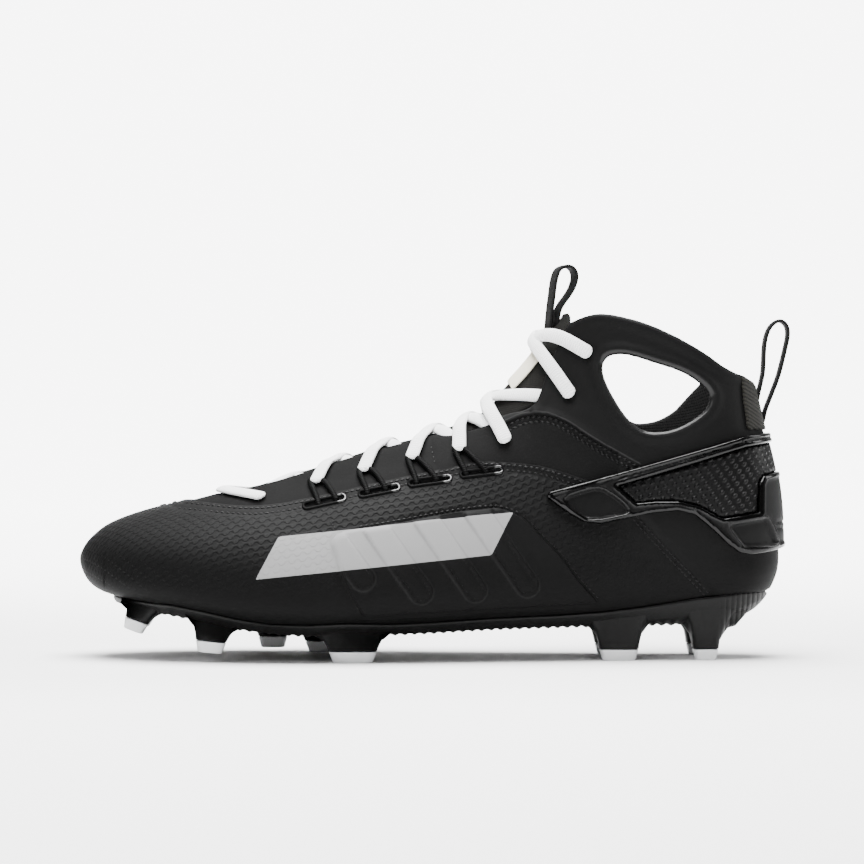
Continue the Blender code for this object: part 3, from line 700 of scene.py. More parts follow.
# %% Finishes
class Finish:
    """A material with one main shader."""

    def __init__(self, name, **settings):
        self.material = bpy.data.materials.new(name)
        self.material.use_nodes = True
        self.tree = self.material.node_tree
        self.shader = self.tree.nodes["Principled BSDF"]
        for word, value in settings.items():
            self.set(word.replace("_", " ").title().replace("Ior", "IOR"), value)

    def node(self, kind, values=(), out=0, **settings):
        """Any node: its settings by name, its inputs in order or by key, and one of its outputs."""
        made = self.tree.nodes.new("ShaderNode" + kind)
        for word, setting in settings.items():
            setattr(made, word, setting)
        for where, value in values.items() if isinstance(values, dict) else enumerate(values):
            if isinstance(value, Value):
                self.tree.links.new(value.socket, made.inputs[where])
            elif value is not None:
                made.inputs[where].default_value = value
        return Value(self, made.outputs[out])

    def set(self, word, value):
        if isinstance(value, Value):
            self.tree.links.new(value.socket, self.shader.inputs[word])
        else:
            self.shader.inputs[word].default_value = value

    def place(self):
        return self.node("TexCoord", out=3)

    def pattern(self):
        return self.node("UVMap")

    def noted(self, word):
        return self.node("Attribute", out=2, attribute_name=word)

    def noise(self, size, detail=3.0, where=None):
        """Soft noise with blotches of a size in millimetres."""
        where = where or self.place()
        return self.node("TexNoise", {"Vector": where, "Scale": 1000.0 / size, "Detail": detail})

    def bump(self, height):
        """A surface that rises by a height in millimetres."""
        self.set("Normal", self.node("Bump", {"Height": height, "Strength": 1.0, "Distance": MM}))

    def on(self, *pieces):
        for piece in pieces:
            piece.data.materials.append(self.material)


def grey(level, warm=0.0):
    """A grey, a little warmer or cooler."""
    return (level * (1 + warm), level, level * (1 - warm), 1.0)


print("middle grey:", grey(0.18))

# %% [markdown]
# The studio sweep is matt and almost white, with the least bit of mottle so that it reads as a surface.
# Towards the back it also glows, so the wall comes out white in the picture without more light on the
# shoe. How far back a point lies is read from the slope at which the camera sees the floor there.

# %% The sweep's finish
GLOW = 6.6
FRONT_GLOW = 0.10

paper = Finish("studio_paper", roughness=0.9, specular_ior_level=0.1)
paper.set("Base Color", paper.noise(400.0).choose(grey(0.90), grey(0.92)))
across, away, above = paper.place().axes()
slope = CAMERA_AT[2] / (away - CAMERA_AT[1])
glow = slope.step(0.066, 0.022) * abs(across).step(1.0, 0.74) * above.step(1.05, 0.82)
glow = glow + away.step(-0.10, -0.28) * abs(across).step(0.6, 0.3) * FRONT_GLOW
paper.set("Emission Color", glow.choose(grey(0.0), grey(GLOW)))
paper.set("Emission Strength", 1.0)
paper.on(sweep)
print("finish:", paper.material.name)

# %% [markdown]
# ## The upper
# The upper is one fine sheet from throat to bottom on both sides, about a millimetre a cell. The collar
# and the two ankle cut-outs are scored and cut away, and the edges of its panels are scored so that
# their steps stay crisp. The lasted bottom stays open under the plate, as on a real shoe.

# %% Openings of the upper
THROAT = ((5.45, 0.0), (5.5, 3.0), (5.7, 6.5), (6.0, 9.0), (7.0, 11.5), (9.0, 12.5), (10.5, 13.5),
          (11.5, 16.0), (12.5, 19.0), (14.0, 20.0), (20.0, 20.0))
LASTED = ((2.9, 0.0), (3.0, 8.0), (4.0, 20.0), (5.0, 27.0), (7.0, 31.0), (9.0, 26.0), (11.0, 22.0),
          (13.0, 19.0), (13.8, 12.0), (14.1, 0.0))
COLLAR = ((-2.0, 92.4), (5.9, 92.4), (14.7, 94.5), (22.6, 96.6), (27.0, 99.4), (31.0, 100.9), (36.2, 101.9),
          (40.8, 104.6), (43.2, 109.0), (46.8, 120.0), (52.5, 134.2), (57.5, 138.6), (67.5, 140.9),
          (80.8, 138.3), (92.5, 134.0), (103.8, 128.4), (111.4, 124.0), (118.0, 119.6),
          (123.0, 117.2), (126.8, 116.0), (130.4, 113.6), (133.4, 110.8), (138.0, 109.4), (150.0, 109.0))
ROOF = ((150.0, 175.0), (-2.0, 175.0))
CUT_OUT = ((68.2, 119.1), (69.6, 122.6), (72.8, 124.2), (79.0, 124.0), (89.2, 120.9), (100.6, 117.0),
           (108.3, 112.2), (112.0, 107.4), (110.4, 102.4), (104.6, 97.6), (96.8, 93.9), (89.4, 92.9),
           (83.6, 94.2), (77.8, 99.0), (72.6, 107.0), (69.2, 114.0))
CUT_OUT_MEDIAL = ((68.6, 121.0), (70.0, 126.0), (75.0, 128.2), (83.0, 127.8), (95.0, 124.4),
                  (104.0, 121.2), (110.2, 118.3), (113.0, 115.4), (112.6, 113.0), (109.9, 110.2),
                  (105.8, 105.8), (101.4, 101.4), (95.4, 98.0), (89.4, 96.6), (84.2, 97.0),
                  (78.0, 101.6), (72.6, 109.0))

collar_line = np.vstack([smooth_line(COLLAR, 5), ROOF])
hole_lines = {LATERAL: smooth_line(CUT_OUT, 5, True), MEDIAL: smooth_line(CUT_OUT_MEDIAL, 5, True)}


def throat(u, side):
    """The arc where the upper starts, beside the throat."""
    return read_table(THROAT, u)


def lasted(u, side):
    """The arc where the upper ends, under the foot."""
    return girth(u, side) - read_table(LASTED, u)


def below_collar(x, z, side):
    """Distance below the collar's edge, negative above it."""
    return -within(x, z, collar_line)


def off_holes(x, z, side):
    """Distance from the ankle cut-out on a point's own side, negative inside it."""
    return -np.where(side < 0, within(x, z, hole_lines[LATERAL]), within(x, z, hole_lines[MEDIAL]))


print("collar points:", len(collar_line), "cut-out points:", len(hole_lines[LATERAL]))

# %% [markdown]
# Panels are drawn in the side view as well: the seam under the lace panel, the edge of the moulded
# yoke, the smooth panel low on the side with its four fingers, the heel seam and the pale stripe. The
# same lines serve the relief, the stitches and the colours, so they always agree.

# %% Seams, panels and the stripe
SKIN_SEAM = ((-112.0, 67.0), (-105.0, 65.2), (-94.0, 64.3), (-78.0, 63.1), (-66.0, 63.5), (-50.0, 66.3),
             (-33.6, 69.9), (-13.5, 74.4), (6.7, 78.4), (18.7, 80.8), (38.9, 79.6), (51.0, 76.8),
             (66.0, 71.5))
YOKE_EDGE = ((84.0, 79.8), (74.9, 84.8), (65.7, 90.1), (60.1, 93.7), (54.5, 97.4), (48.5, 100.0),
             (43.3, 101.0), (36.0, 100.2), (29.0, 97.2))
PANEL_BACK = ((24.0, 99.0), (20.0, 125.0), (-60.0, 110.0))
SIDE_SEAM = ((-40.9, 48.2), (-39.4, 50.5), (-35.4, 52.5), (-14.6, 56.1), (6.6, 60.0), (22.7, 61.9),
             (28.8, 61.1), (35.6, 57.9), (42.8, 50.7), (50.9, 42.6), (57.8, 33.3), (66.0, 24.3))
BALL_SEAM = ((-40.9, 48.2), (-35.7, 33.9), (-27.8, 19.8))
FINGERS = (((-40.6, 50.9), (-28.1, 34.3)), ((-24.6, 56.1), (-5.0, 29.0)), ((-4.2, 59.2), (16.6, 29.6)),
           ((16.7, 61.2), (37.6, 31.4)))
FINGER_HALF = 5.0
HEEL_SEAM = ((84.0, 60.0), (86.9, 56.6), (97.8, 44.9), (109.4, 33.0), (114.0, 28.0))
STRIPE = ((-71.0, 34.0), (-62.0, 51.0), (32.0, 60.5), (23.0, 43.5))
PANEL_JOIN = ((-1.8, 90.4), (-0.6, 85.2), (0.6, 79.9))
PANEL_END = 75.0
SEAM_SLANT = 0.7
FAR_OUT = -9.0

seam_line = smooth_line(SKIN_SEAM, 4)
yoke_line = smooth_line(YOKE_EDGE, 4)
lace_panel = np.vstack([seam_line, yoke_line, PANEL_BACK])
side_line = smooth_line(SIDE_SEAM, 4)
ball_line = smooth_line(BALL_SEAM, 4)
heel_line = smooth_line(HEEL_SEAM, 4)
side_outline = np.vstack([side_line, ball_line[::-1]])


def panel_depth(x, z, side):
    """Distance into the lace panel, positive inside."""
    return np.where(x < PANEL_END, within(x, z, lace_panel), FAR_OUT)


def side_panel(x, z, side):
    """Distance into the smooth panel low on the side, positive inside."""
    return within(x, z, side_outline)


def finger_depth(x, z):
    """Distance into the nearest finger of the side panel, positive inside."""
    return np.max([FINGER_HALF - from_line(x, z, finger) for finger in FINGERS], axis=0)


def ahead_of_heel_seam(x, z):
    """Distance in front of the heel seam, positive towards the toe."""
    return (read_table(np.array(HEEL_SEAM)[::-1, ::-1], z) - x) * SEAM_SLANT


def stripe_depth(x, z, side):
    """Distance into the pale stripe on the lateral side, positive inside."""
    return np.where(side < 0, within(x, z, STRIPE), FAR_OUT)


print("fingers:", len(FINGERS), "seam points:", len(seam_line))

# %% [markdown]
# The skin's relief is a sum of soft steps, humps and grooves, each from one of these distances. It
# depends on the address alone, so laces, stitches and rims can ask how high the skin stands where they
# lie on it.

# %% Heights of the relief
SLOTS = (((-51.2, 63.2), (-36.8, 66.4)), ((-28.8, 67.9), (-15.0, 70.6)), ((-8.8, 72.2), (5.8, 74.2)),
         ((12.2, 75.8), (26.6, 77.6)))
SLOT_HALF = 0.9
LACE_HOLES = ((55.4, 107.4), (62.6, 125.4))
STEP = 0.8
FLAP_RISE = 1.9
SEAM_BEAD = 0.3
PANEL_RISE = 0.6
FINGER_RISE = 1.0
FINGER_GROOVE = 0.5
YOKE_BEAD = 0.35
SEWN_GROOVE = 0.3
HEEL_FILL = 1.6
HEEL_RISE = 0.65
HOLE_LIP = 1.1
COLLAR_LIP = 0.6
SLOT_DEPTH = 1.0
LACE_DIP = 0.9
SEWN = ((seam_line, -1.0), (seam_line, -3.0), (yoke_line, 1.5), (yoke_line, 3.5), (heel_line, -2.2),
        (heel_line, -4.0), (PANEL_JOIN, 0.0))


def shifted(line, offset):
    """A line moved sideways, to the left of its own way."""
    line = np.array(line, float)
    way = unit(np.gradient(line, axis=0))
    return line + offset * np.stack([-way[:, 1], way[:, 0]], axis=1)


print("rows of sewn grooves:", len(SEWN), "slots a side:", len(SLOTS))

# %% [markdown]
# The sum itself goes from the large forms to the small ones: the lace panel's step and the flap, the
# side panel with its fingers, beads and sewn grooves, the fuller heel, the lips of the openings, and
# last the slots and the dips where the lace goes through.

# %% The skin's relief
def relief(u, arc, side):
    """How far the upper's outer skin stands off the last at sections and arcs, in millimetres."""
    places, _ = on_wall(u, arc, side)
    x, z = places[:, 0], places[:, 2]
    panel = panel_depth(x, z, side)
    lift = -STEP * ramp(panel, 0.0, 0.5) + SEAM_BEAD * hump(panel, -0.9, 1.3)
    flap = arc - throat(u, side)
    lift += FLAP_RISE * (1 - ramp(flap, 0.0, 17.0)) * ramp(u, 6.2, 7.4) * (1 - ramp(u, 8.8, 9.8))
    depth, inset = side_panel(x, z, side), finger_depth(x, z)
    lift += PANEL_RISE * ramp(depth, -0.4, 0.1) * (1 - ramp(depth, 6.0, 40.0))
    lift += FINGER_RISE * ramp(depth, 0.0, 1.5) * ramp(inset, -0.3, 0.9)
    grooves = hump(depth, -0.9, 0.9) + ramp(depth, 0.0, 1.5) * hump(inset, 1.9, 0.8)
    lift -= FINGER_GROOVE * ramp(-stripe_depth(x, z, side), 0.0, 1.5) * grooves
    lift += YOKE_BEAD * hump(from_line(x, z, yoke_line), 0.0, 0.8)
    for row, offset in SEWN:
        lift -= SEWN_GROOVE * hump(from_line(x, z, shifted(row, offset)), 0.0, 0.9)
    lift += HEEL_FILL * ramp(x, 112.0, 132.0) * ramp(z, 27.0, 30.0) * (1 - ramp(z, 34.0, 46.0))
    heel = -ahead_of_heel_seam(x, z)
    lift += HEEL_RISE * ramp(heel, -0.3, 0.3) * (1 - ramp(heel, 2.0, 22.0)) * (z < 62.0)
    lift += HOLE_LIP * hump(off_holes(x, z, side), 2.6, 3.4)
    lift += COLLAR_LIP * hump(below_collar(x, z, side), 2.4, 3.2) * (x > 40.0)
    for slot in SLOTS:
        lift -= SLOT_DEPTH * ramp(SLOT_HALF - from_line(x, z, slot), -0.5, 0.4)
    for hole_x, hole_z in LACE_HOLES:
        lift -= LACE_DIP * np.exp(-((x - hole_x) ** 2 + (z - hole_z) ** 2) / 14.0)
    return lift


flank = relief(np.array([float(BALL)]), np.array([60.0]), np.array([LATERAL]))
print("skin over the last at the side of the ball:", flank.round(2))

# %% [markdown]
# Now the sheet itself. Scoring goes from the coarse cuts to the fine ones. Each needs the addresses of
# the points that exist by then, so they are read anew every time.

# %% The upper's sheet
UPPER_PITCH = 1.15
UPPER_COLUMNS = 78
TURNS = (2.9, 3.0, 5.45, 5.5, 14.1)
EDGE_ROUND = 1.0

upper_u = np.union1d(even_sections(0.0, TOP_RING, UPPER_PITCH), TURNS)
upper = pair("upper_shell", upper_u, throat, lasted, np.linspace(0.0, 1.0, UPPER_COLUMNS))
for measure in (below_collar, off_holes):
    score_at(upper, measure, 0.0, cut_away=True)
for depth in (0.35, EDGE_ROUND):
    for measure in (below_collar, off_holes):
        score_at(upper, measure, depth)
score_at(upper, panel_depth, 0.0, 0.5)
score_at(upper, side_panel, -0.4, 0.1)
for edge in (-0.3, 0.9):
    score_at(upper, lambda x, z, side: np.minimum(side_panel(x, z, side), finger_depth(x, z) - edge), 0.0)
score_at(upper, stripe_depth, 0.0)
print("upper's sheet:", len(upper.data.polygons), "faces")

# %% [markdown]
# Near an open edge both skins roll towards each other. Under the plate the outer skin stays flat, as
# nobody sees it there. The notes tell the finish where the panel, the stripe and the scales are.

# %% The upper's two skins
WALL = 2.0
FILM = 0.16
HIDDEN_BELOW = ((-150.0, 30.0), (-66.0, 17.0), (22.0, 18.5), (107.0, 26.0), (125.0, 27.0), (150.0, 26.4))
HIDDEN_LIFT = 0.1
COLLAR_LEAD = 1.9

x, z, side = side_view(upper)
u, arc, _ = addresses(upper)
collar, hole, stripe = (measure(x, z, side) for measure in (below_collar, off_holes, stripe_depth))
rim_depth = np.minimum(np.minimum(collar, hole), np.where(u > THROAT[0][0], arc - throat(u, side), 9.0))
fall = rolled(rim_depth, EDGE_ROUND)
lift = relief(u, arc, side) + FILM * ramp(stripe, -0.05, 0.05)
hidden = z < read_table(HIDDEN_BELOW, x)
outer = np.where(hidden, np.minimum(lift, HIDDEN_LIFT), lift) - fall

scales = ramp(read_table(SKIN_SEAM, x) - z, 4.0, 4.8) * ramp(z, 27.0, 37.0) * ramp(rim_depth, 3.0, 4.0)
scales = np.where(x < SKIN_SEAM[0][0], ramp(z, 27.0, 37.0), scales)
scales *= ramp(-side_panel(x, z, side), 0.6, 1.4) * ramp(ahead_of_heel_seam(x, z), 5.0, 14.0)
scales *= 1 - 0.55 * ramp(x - 0.4 * (z - 60.0), 56.0, 84.0)
finger = np.where(side_panel(x, z, side) > 1.0, np.clip(finger_depth(x, z), -9.0, 9.0), FAR_OUT)
lip = np.where(x > 46.0, np.clip(np.minimum(COLLAR_LEAD + collar, hole), 0.0, 9.0), 9.0)
build_up(upper, outer, fall - WALL, panel=np.clip(panel_depth(x, z, side), -20.0, 20.0),
         stripe=np.clip(stripe, -20.0, 20.0), scales=scales, finger=finger, rim=lip,
         bead=from_line(x, z, yoke_line))

# %% [markdown]
# The outer skin is dark and faintly glossy. Its front wears a relief of small overlapping scales, which
# fades out low on the side. A saw-tooth down the wall makes the rows, and two crossed waves bend them,
# so that each scale bulges over the gap between the two below it. The lace panel is grained leather.

# %% The skin's scales and grain
SCALE_LONG = 4.2
SCALE_ROW = 2.6
SCALE_BOW = 0.3
SCALE_HEIGHT = 0.42
GRAIN_HEIGHT = 0.05
LEATHER_HEIGHT = 0.10

skin = Finish("skin", specular_ior_level=0.07)
along, down, _ = skin.pattern().axes()
bow = along.wave(SCALE_LONG) * down.wave(2 * SCALE_ROW)
slope = (down / SCALE_ROW + bow * SCALE_BOW + 0.5).maths("FRACT")
bulge = bow.step(0.9, -0.7) * 0.75 + 0.25
scale_height = slope.step(0.0, 0.85) * (1.0 - slope.step(0.90, 1.0)) * bulge
# Painted shade: the colour darkens just below each scale's edge, as if the scale above shaded it.
shade = 1.0 - (1.0 - slope.step(0.02, 0.38)) * bulge
amount = skin.noted("scales")
on_panel = skin.noted("panel").step(-0.05, 0.15)
on_stripe = skin.noted("stripe").step(-0.05, 0.05)
grain = skin.noise(0.5, 4.0)
mottle = skin.noise(14.0, 2.0)
leather = skin.noise(1.3, 5.0)
bare = 1.0 - on_stripe
scale_share = 1.0 - on_stripe * 0.75
skin.bump(scale_height * amount * (SCALE_HEIGHT * scale_share) + grain * GRAIN_HEIGHT * bare
          + leather * LEATHER_HEIGHT * on_panel)
print("scales", SCALE_LONG, "mm long in rows of", SCALE_ROW, "mm")

# %% [markdown]
# Colours are mixed in layers: dark skin, painted darker low on the wall as shade, with painted shade under
# each scale's edge, the mottled lace panel over it, painted highlights along the fingers' edges and the
# yoke's bead, and last the stripe's film, on which the painted shade of the scales and of the fingers'
# edges still shows.
# Only the rims of collar and cut-outs carry a clear coat.

# %% The skin's colours
# Painted light along the fingers' edges: a painted highlight on the skin, painted shade on the stripe's
# film.
edges = 1.0 - abs(skin.noted("finger")).step(0.1, 0.7)
# Painted highlight: a light line along the yoke's raised bead.
painted_bead_highlight = 1.0 - skin.noted("bead").step(0.1, 0.5)
# Painted shade: below about 55 mm the skin's colour darkens towards the floor, as if less light reached it.
height = skin.place().axes()[2]
low = height.step(0.022, 0.055)
dark = (1.0 - amount * (1.0 - shade)).choose(grey(0.0010), low.choose(grey(0.0011), grey(0.0032)))
vamp = skin.place().axes()[0].step(-0.072, -0.062)
dark = on_panel.choose(dark, vamp.choose(grey(0.0016), mottle.choose(grey(0.0018), grey(0.0038))))
dark = (edges * 0.8).choose(dark, grey(0.0060))
dark = (painted_bead_highlight * 0.8).choose(dark, grey(0.0200))
film = (amount * (1.0 - shade) * 0.5 + edges * 0.6).choose(grey(0.22), grey(0.165))
skin.set("Base Color", on_stripe.choose(dark, film))
skin.set("Roughness", 0.54 + grain * 0.16 + on_panel * 0.16 - on_stripe * 0.12)
skin.set("Coat Weight", skin.noted("rim").step(2.4, 1.2) * 0.35)
skin.set("Coat Roughness", 0.22)
skin.on(upper)
print("finish:", skin.material.name)

# %% [markdown]
# The lining is a matt knit with small holes. Two crossed waves along the UV map give the holes, and
# they are both darker and deeper than the yarn around them.

# %% The lining
KNIT = 1.6

lining = Finish("lining", specular_ior_level=0.2, roughness=0.9)
along, down, _ = lining.pattern().axes()
dots = (along.wave(KNIT) * down.wave(KNIT)).step(0.1, 0.7)
lining.set("Base Color", dots.choose(grey(0.016), grey(0.004)))
lining.bump(dots * -0.25 + lining.noise(0.3) * 0.1)
lining.on(upper)
print("finish:", lining.material.name)

# %% [markdown]
# ## Tongue, insole and label
# The tongue is a padded strip under the throat, the insole a foam sheet inside. Both follow the last a
# few millimetres below its surface, with edges rounded by letting both skins meet at the rim.

# %% Edges of the soft pieces
GAP = 0.3
TONGUE_ENDS = (5.0, 17.2)
TONGUE_OVERLAP = 8.0
TONGUE_DROOP = 0.0045
INSOLE_ENDS = (2.8, 13.9)
INSOLE_SHARE = 0.74
LABEL_ENDS = (12.0, 14.0)
LABEL_HALF = 12.0


def ridge(u, side):
    """Arcs at the ridge on top of the last."""
    return np.zeros(len(u))


def bottom(u, side):
    """Arcs at the middle of the last's bottom."""
    return girth(u, side)


def own_side(measure, u, side):
    """A measure of sections, read for each point on its own side."""
    return np.where(side < 0, measure(u, LATERAL), measure(u, MEDIAL))


def tongue_edge(u, side):
    """Where the tongue ends under the upper."""
    return throat(u, side) + TONGUE_OVERLAP


def tongue_top(arc):
    """The section where the tongue ends: highest in the middle, lower at its edges."""
    return TONGUE_ENDS[1] - TONGUE_DROOP * arc ** 2


def label_edge(u, side):
    """Half the label's width, the same at every section."""
    return np.full(len(u), LABEL_HALF)


def insole_edge(u, side):
    """Where the insole ends: a share of the half width, drawn in at toe and heel."""
    points, along = half_rings(u, side)
    row = dict(zip(SECTION_COLUMNS, rows_at(u).T))
    toe = np.sqrt(np.clip((u - INSOLE_ENDS[0]) / 1.3, 0.0, 1.0))
    heel = np.sqrt(np.clip((INSOLE_ENDS[1] - u) / 1.2, 0.0, 1.0))
    reach = INSOLE_SHARE * row["lateral" if side < 0 else "medial"] * np.minimum(toe, heel)
    out = np.abs(points[:, HALF_RING:, 1] - row["spine_y"][:, None])
    keep = (out < reach[:, None]).argmax(axis=1)
    return along[np.arange(len(u)), HALF_RING + np.maximum(keep - 1, 0)]


print("tongue from section", TONGUE_ENDS[0], "to", TONGUE_ENDS[1])

# %% [markdown]
# The tongue puffs up a little between the flaps, dips where the lace pulls it down and leans back at
# its top. Both skins share the same seat, so its thickness stays even while it leans.

# %% Tongue
TONGUE = 3.4
SECTION_MM = 6.0

tongue_u = even_sections(*TONGUE_ENDS, 1.1, share=0.1)
tongue = pair("tongue_pad", tongue_u, ridge, tongue_edge, np.linspace(0.0, 1.0, 34))
u, arc, side = addresses(tongue)
score(tongue, (tongue_top(arc) - u) * SECTION_MM, cut_away=True)
u, arc, side = addresses(tongue)
ends = np.minimum(u - TONGUE_ENDS[0], tongue_top(arc) - u) * SECTION_MM
fall = rolled(np.minimum(tongue_edge(u, side) - arc, ends), 1.6)
puff = 2.0 * hump(arc, 0.0, 14.0) * ramp(u, 5.6, 7.0) * (1 - ramp(u, 8.0, 9.4))
puff -= 2.2 * hump(u, 10.6, 1.3)
seat = -WALL - 2 * GAP - 2.4 * ramp(u, 14.4, 17.2)
build_up(tongue, seat - fall + puff, seat - TONGUE + fall)

# %% [markdown]
# The insole lies on the lasted bottom and thins out at its rim. The label is a small flat patch on the
# tongue, thin enough to follow its bend.

# %% Insole and label
INSOLE = 3.2
LABEL_LIFT = 0.9

insole_u = even_sections(*INSOLE_ENDS, 2.0, share=0.95)
insole = pair("insole_foam", insole_u, insole_edge, bottom, np.linspace(0.0, 1.0, 24))
u, arc, side = addresses(insole)
fall = rolled(np.minimum(arc - own_side(insole_edge, u, side), (INSOLE_ENDS[1] - u) * 9.0), 1.5)
seat = -WALL - 3 * GAP
build_up(insole, seat - fall, seat - INSOLE + fall)

label = pair("tongue_patch", np.linspace(*LABEL_ENDS, 12), ridge, label_edge, np.linspace(0.0, 1.0, 12))
u, arc, side = addresses(label)
ends = np.minimum(u - LABEL_ENDS[0], LABEL_ENDS[1] - u) * 6.5
build_up(label, LABEL_LIFT - WALL - rolled(np.minimum(LABEL_HALF - arc, ends), 0.4), -WALL)

# %% [markdown]
# ## Tubes
# Laces, cords and tape are tubes along a path. Blender's curves could make them, but here each tube is
# a grid rolled up around its path, so that its UV map runs along and around it and a weave can follow.
# The ends close to a point through a few shrinking rings.

# %% Rolling a grid into a tube
END_RINGS = ((0.0, 1.0), (0.5, 0.87), (0.87, 0.5), (1.0, 0.03))


def squared(turn, sharp):
    """Cosines and sines of a turn; an exponent under 1 pushes them out towards a square."""
    c, s = np.cos(turn), np.sin(turn)
    return np.sign(c) * np.abs(c) ** sharp, np.sign(s) * np.abs(s) ** sharp


def roll_tube(name, path, across, wide, thick, sides, sharp=1.0, cap=0.4):
    """A closed tube along a path, with rounded ends that reach out by a share of its width."""
    ways = unit(np.gradient(path, axis=0))
    rows = [(0, -out * wide * cap, size) for out, size in END_RINGS[::-1]]
    rows += [(k, 0.0, 1.0) for k in range(1, len(path) - 1)]
    rows += [(len(path) - 1, out * wide * cap, size) for out, size in END_RINGS]
    c, s = squared(np.linspace(0.0, 2 * math.pi, sides + 1), sharp)
    c[-1], s[-1] = c[0], s[0]
    rings, middles = [], []
    for k, push, size in rows:
        side = unit(across[k] - ways[k] * (across[k] @ ways[k]))
        up = np.cross(ways[k], side)
        middles.append(path[k] + ways[k] * push)
        flat = np.outer(c * wide / 2 * size, side)
        rings.append(middles[-1] + flat + np.outer(s * thick / 2 * size, up))
    made = new_grid(name, sides, len(rows) - 1, rings)
    set_uv(made, np.repeat(run_of(middles), sides + 1), np.tile(np.arange(sides + 1) / sides, len(rows)))
    mend(made, weld=WELD, outward=True)
    bpy.ops.object.shade_smooth()
    return made


print("a tube's end has", len(END_RINGS), "rings")

# %% [markdown]
# A path over the wall is given by a few stops: section, signed arc from the ridge, and lift. It runs
# smoothly through them and never dips into the skin, unless its end is meant to slip under an edge.

# %% Paths and tubes on the wall
def wall_path(stops, count, clear, tuck):
    """A smooth path over the wall through stops: section, signed arc from the ridge, lift.

    Outside the throat the path stays at least so clear of the upper's skin; with tuck it does so on
    the side of its first stop only, and its other end slips under the edge.
    """
    u, arc, lift = smooth_line(stops, max(2, count // (len(stops) - 1))).T
    side = np.where(arc < 0, float(LATERAL), float(MEDIAL))
    arc = np.abs(arc)
    kept = (arc > throat(u, side)) & ((side == side[0]) | (not tuck))
    lift = np.where(kept, np.maximum(lift, relief(u, arc, side) + clear), lift)
    places, ways = on_wall(u, arc, side)
    path = places + ways * lift[:, None]
    for _ in range(5):
        path[1:-1] = 0.25 * path[:-2] + 0.5 * path[1:-1] + 0.25 * path[2:]
        ways[1:-1] = 0.25 * ways[:-2] + 0.5 * ways[1:-1] + 0.25 * ways[2:]
    return path, ways


def wall_tube(name, stops, count, wide, thick, sides, clear, tuck=False):
    """A tube that lies along the wall, flat side down."""
    path, ways = wall_path(stops, count, clear, tuck)
    return roll_tube(name, path, np.cross(np.gradient(path, axis=0), ways), wide, thick, sides)


print("lateral arcs are negative, medial arcs positive")

# %% [markdown]
# ## Laces
# The lace zigzags over the tongue between loops of thin black cord, and near the ankle through two
# holes. Every crossing is two strands, and the one from the outer side lies on top. The ends of the
# first crossings slip under the flaps.

# %% Where the lace runs
EYELETS = ((-70.6, 66.6), (-47.3, 72.8), (-28.0, 77.6), (-8.4, 82.7), (10.6, 86.4), (29.0, 90.0),
           (55.2, 108.8))
CROSSING_COLUMNS = ("exit_x", "exit_z", "section", "lift", "exit_lift")
CROSSINGS = (
    (-51.0, 77.0, 6.76, -1.3, -2.6),
    (-33.6, 82.4, 7.57, 0.5, -2.4),
    (-14.0, 88.7, 8.36, 0.9, -2.4),
    (6.4, 92.4, 9.2, 0.1, -2.2),
    (23.0, 96.2, 10.1, -2.2, -2.4),
    (43.6, 108.4, 11.05, -0.8, -2.4),
    (62.4, 125.4, 14.5, 2.2, 0.6),
)
TOP_STRAND = (51.4, 131.6)
LACE_WIDE = 5.8
LACE_THICK = 2.4
LACE_SIDES = 16


def one_place(spot, s):
    """Section and signed arc of one place in the side view."""
    u, arc = find([spot], s)
    return float(u[0]), s * float(arc[0])


stations = [{s: one_place(spot, s) for s in (LATERAL, MEDIAL)} for spot in EYELETS]
print("stations a side:", len(stations))

# %% [markdown]
# The toe bar crosses the foot in one gentle bow. Nine stops are enough for it.

# %% Toe bar
TOE_BAR_FRONT = 16.0 / 23.0
EYELET_LIFT = 0.6
BAR_CLEAR = 1.2

start = stations[0][LATERAL][0]
bar_stops = []
for t in np.linspace(-1.0, 1.0, 9):
    reach = stations[0][LATERAL if t < 0 else MEDIAL][1]
    bar_stops.append((start - TOE_BAR_FRONT * (1 - t * t), reach * abs(t), EYELET_LIFT))
toe_bar = wall_tube("lace_bar", bar_stops, 40, LACE_WIDE, LACE_THICK, LACE_SIDES, BAR_CLEAR)
print("toe bar:", len(toe_bar.data.polygons), "faces")

# %% [markdown]
# A strand has three stops: its eyelet, the middle of the tongue and its way out on the other side. The
# two strands of a crossing differ in lift by their thickness at the middle. The first crossing starts
# under the flaps as well, and the last one bends once more on its way to the top hole.

# %% Crossings
LACE_CLEAR = 1.7
UNDER_FLAP = 2.5
UNDER_FLAP_COUNT = 3
TOP_LIFT = 1.4

crossings = []
for k, crossing in enumerate(CROSSINGS):
    row = dict(zip(CROSSING_COLUMNS, crossing))
    strands = []
    for s in (LATERAL, MEDIAL):
        section, near = stations[k][s]
        exit_section, far = one_place((row["exit_x"], row["exit_z"]), -s)
        if k < UNDER_FLAP_COUNT:
            far = -s * (float(throat(exit_section, -s)) + UNDER_FLAP)
        stops = [(section, near, EYELET_LIFT), (row["section"], 0.0, row["lift"] - 0.5 * s),
                 (exit_section, far, row["exit_lift"])]
        clear = LACE_CLEAR
        if k == 0:
            stops[0] = (section, s * (float(throat(section, s)) + UNDER_FLAP), row["exit_lift"])
            clear = -LACE_WIDE
        if k == len(CROSSINGS) - 1:
            stops.insert(2, (*one_place(TOP_STRAND, -s), TOP_LIFT))
        strands.append(wall_tube("strand", stops, 32, LACE_WIDE, LACE_THICK, LACE_SIDES, clear, tuck=True))
    crossings.append(gather("lace_crossing_%d" % (k + 1), strands))
print("crossings:", len(crossings))

# %% [markdown]
# Each black cord comes out of a slot, runs up to the lace, bends round it and goes back down. Its two
# ends are made alike: a stop below the skin, one in the slot's mouth and one near the lace.

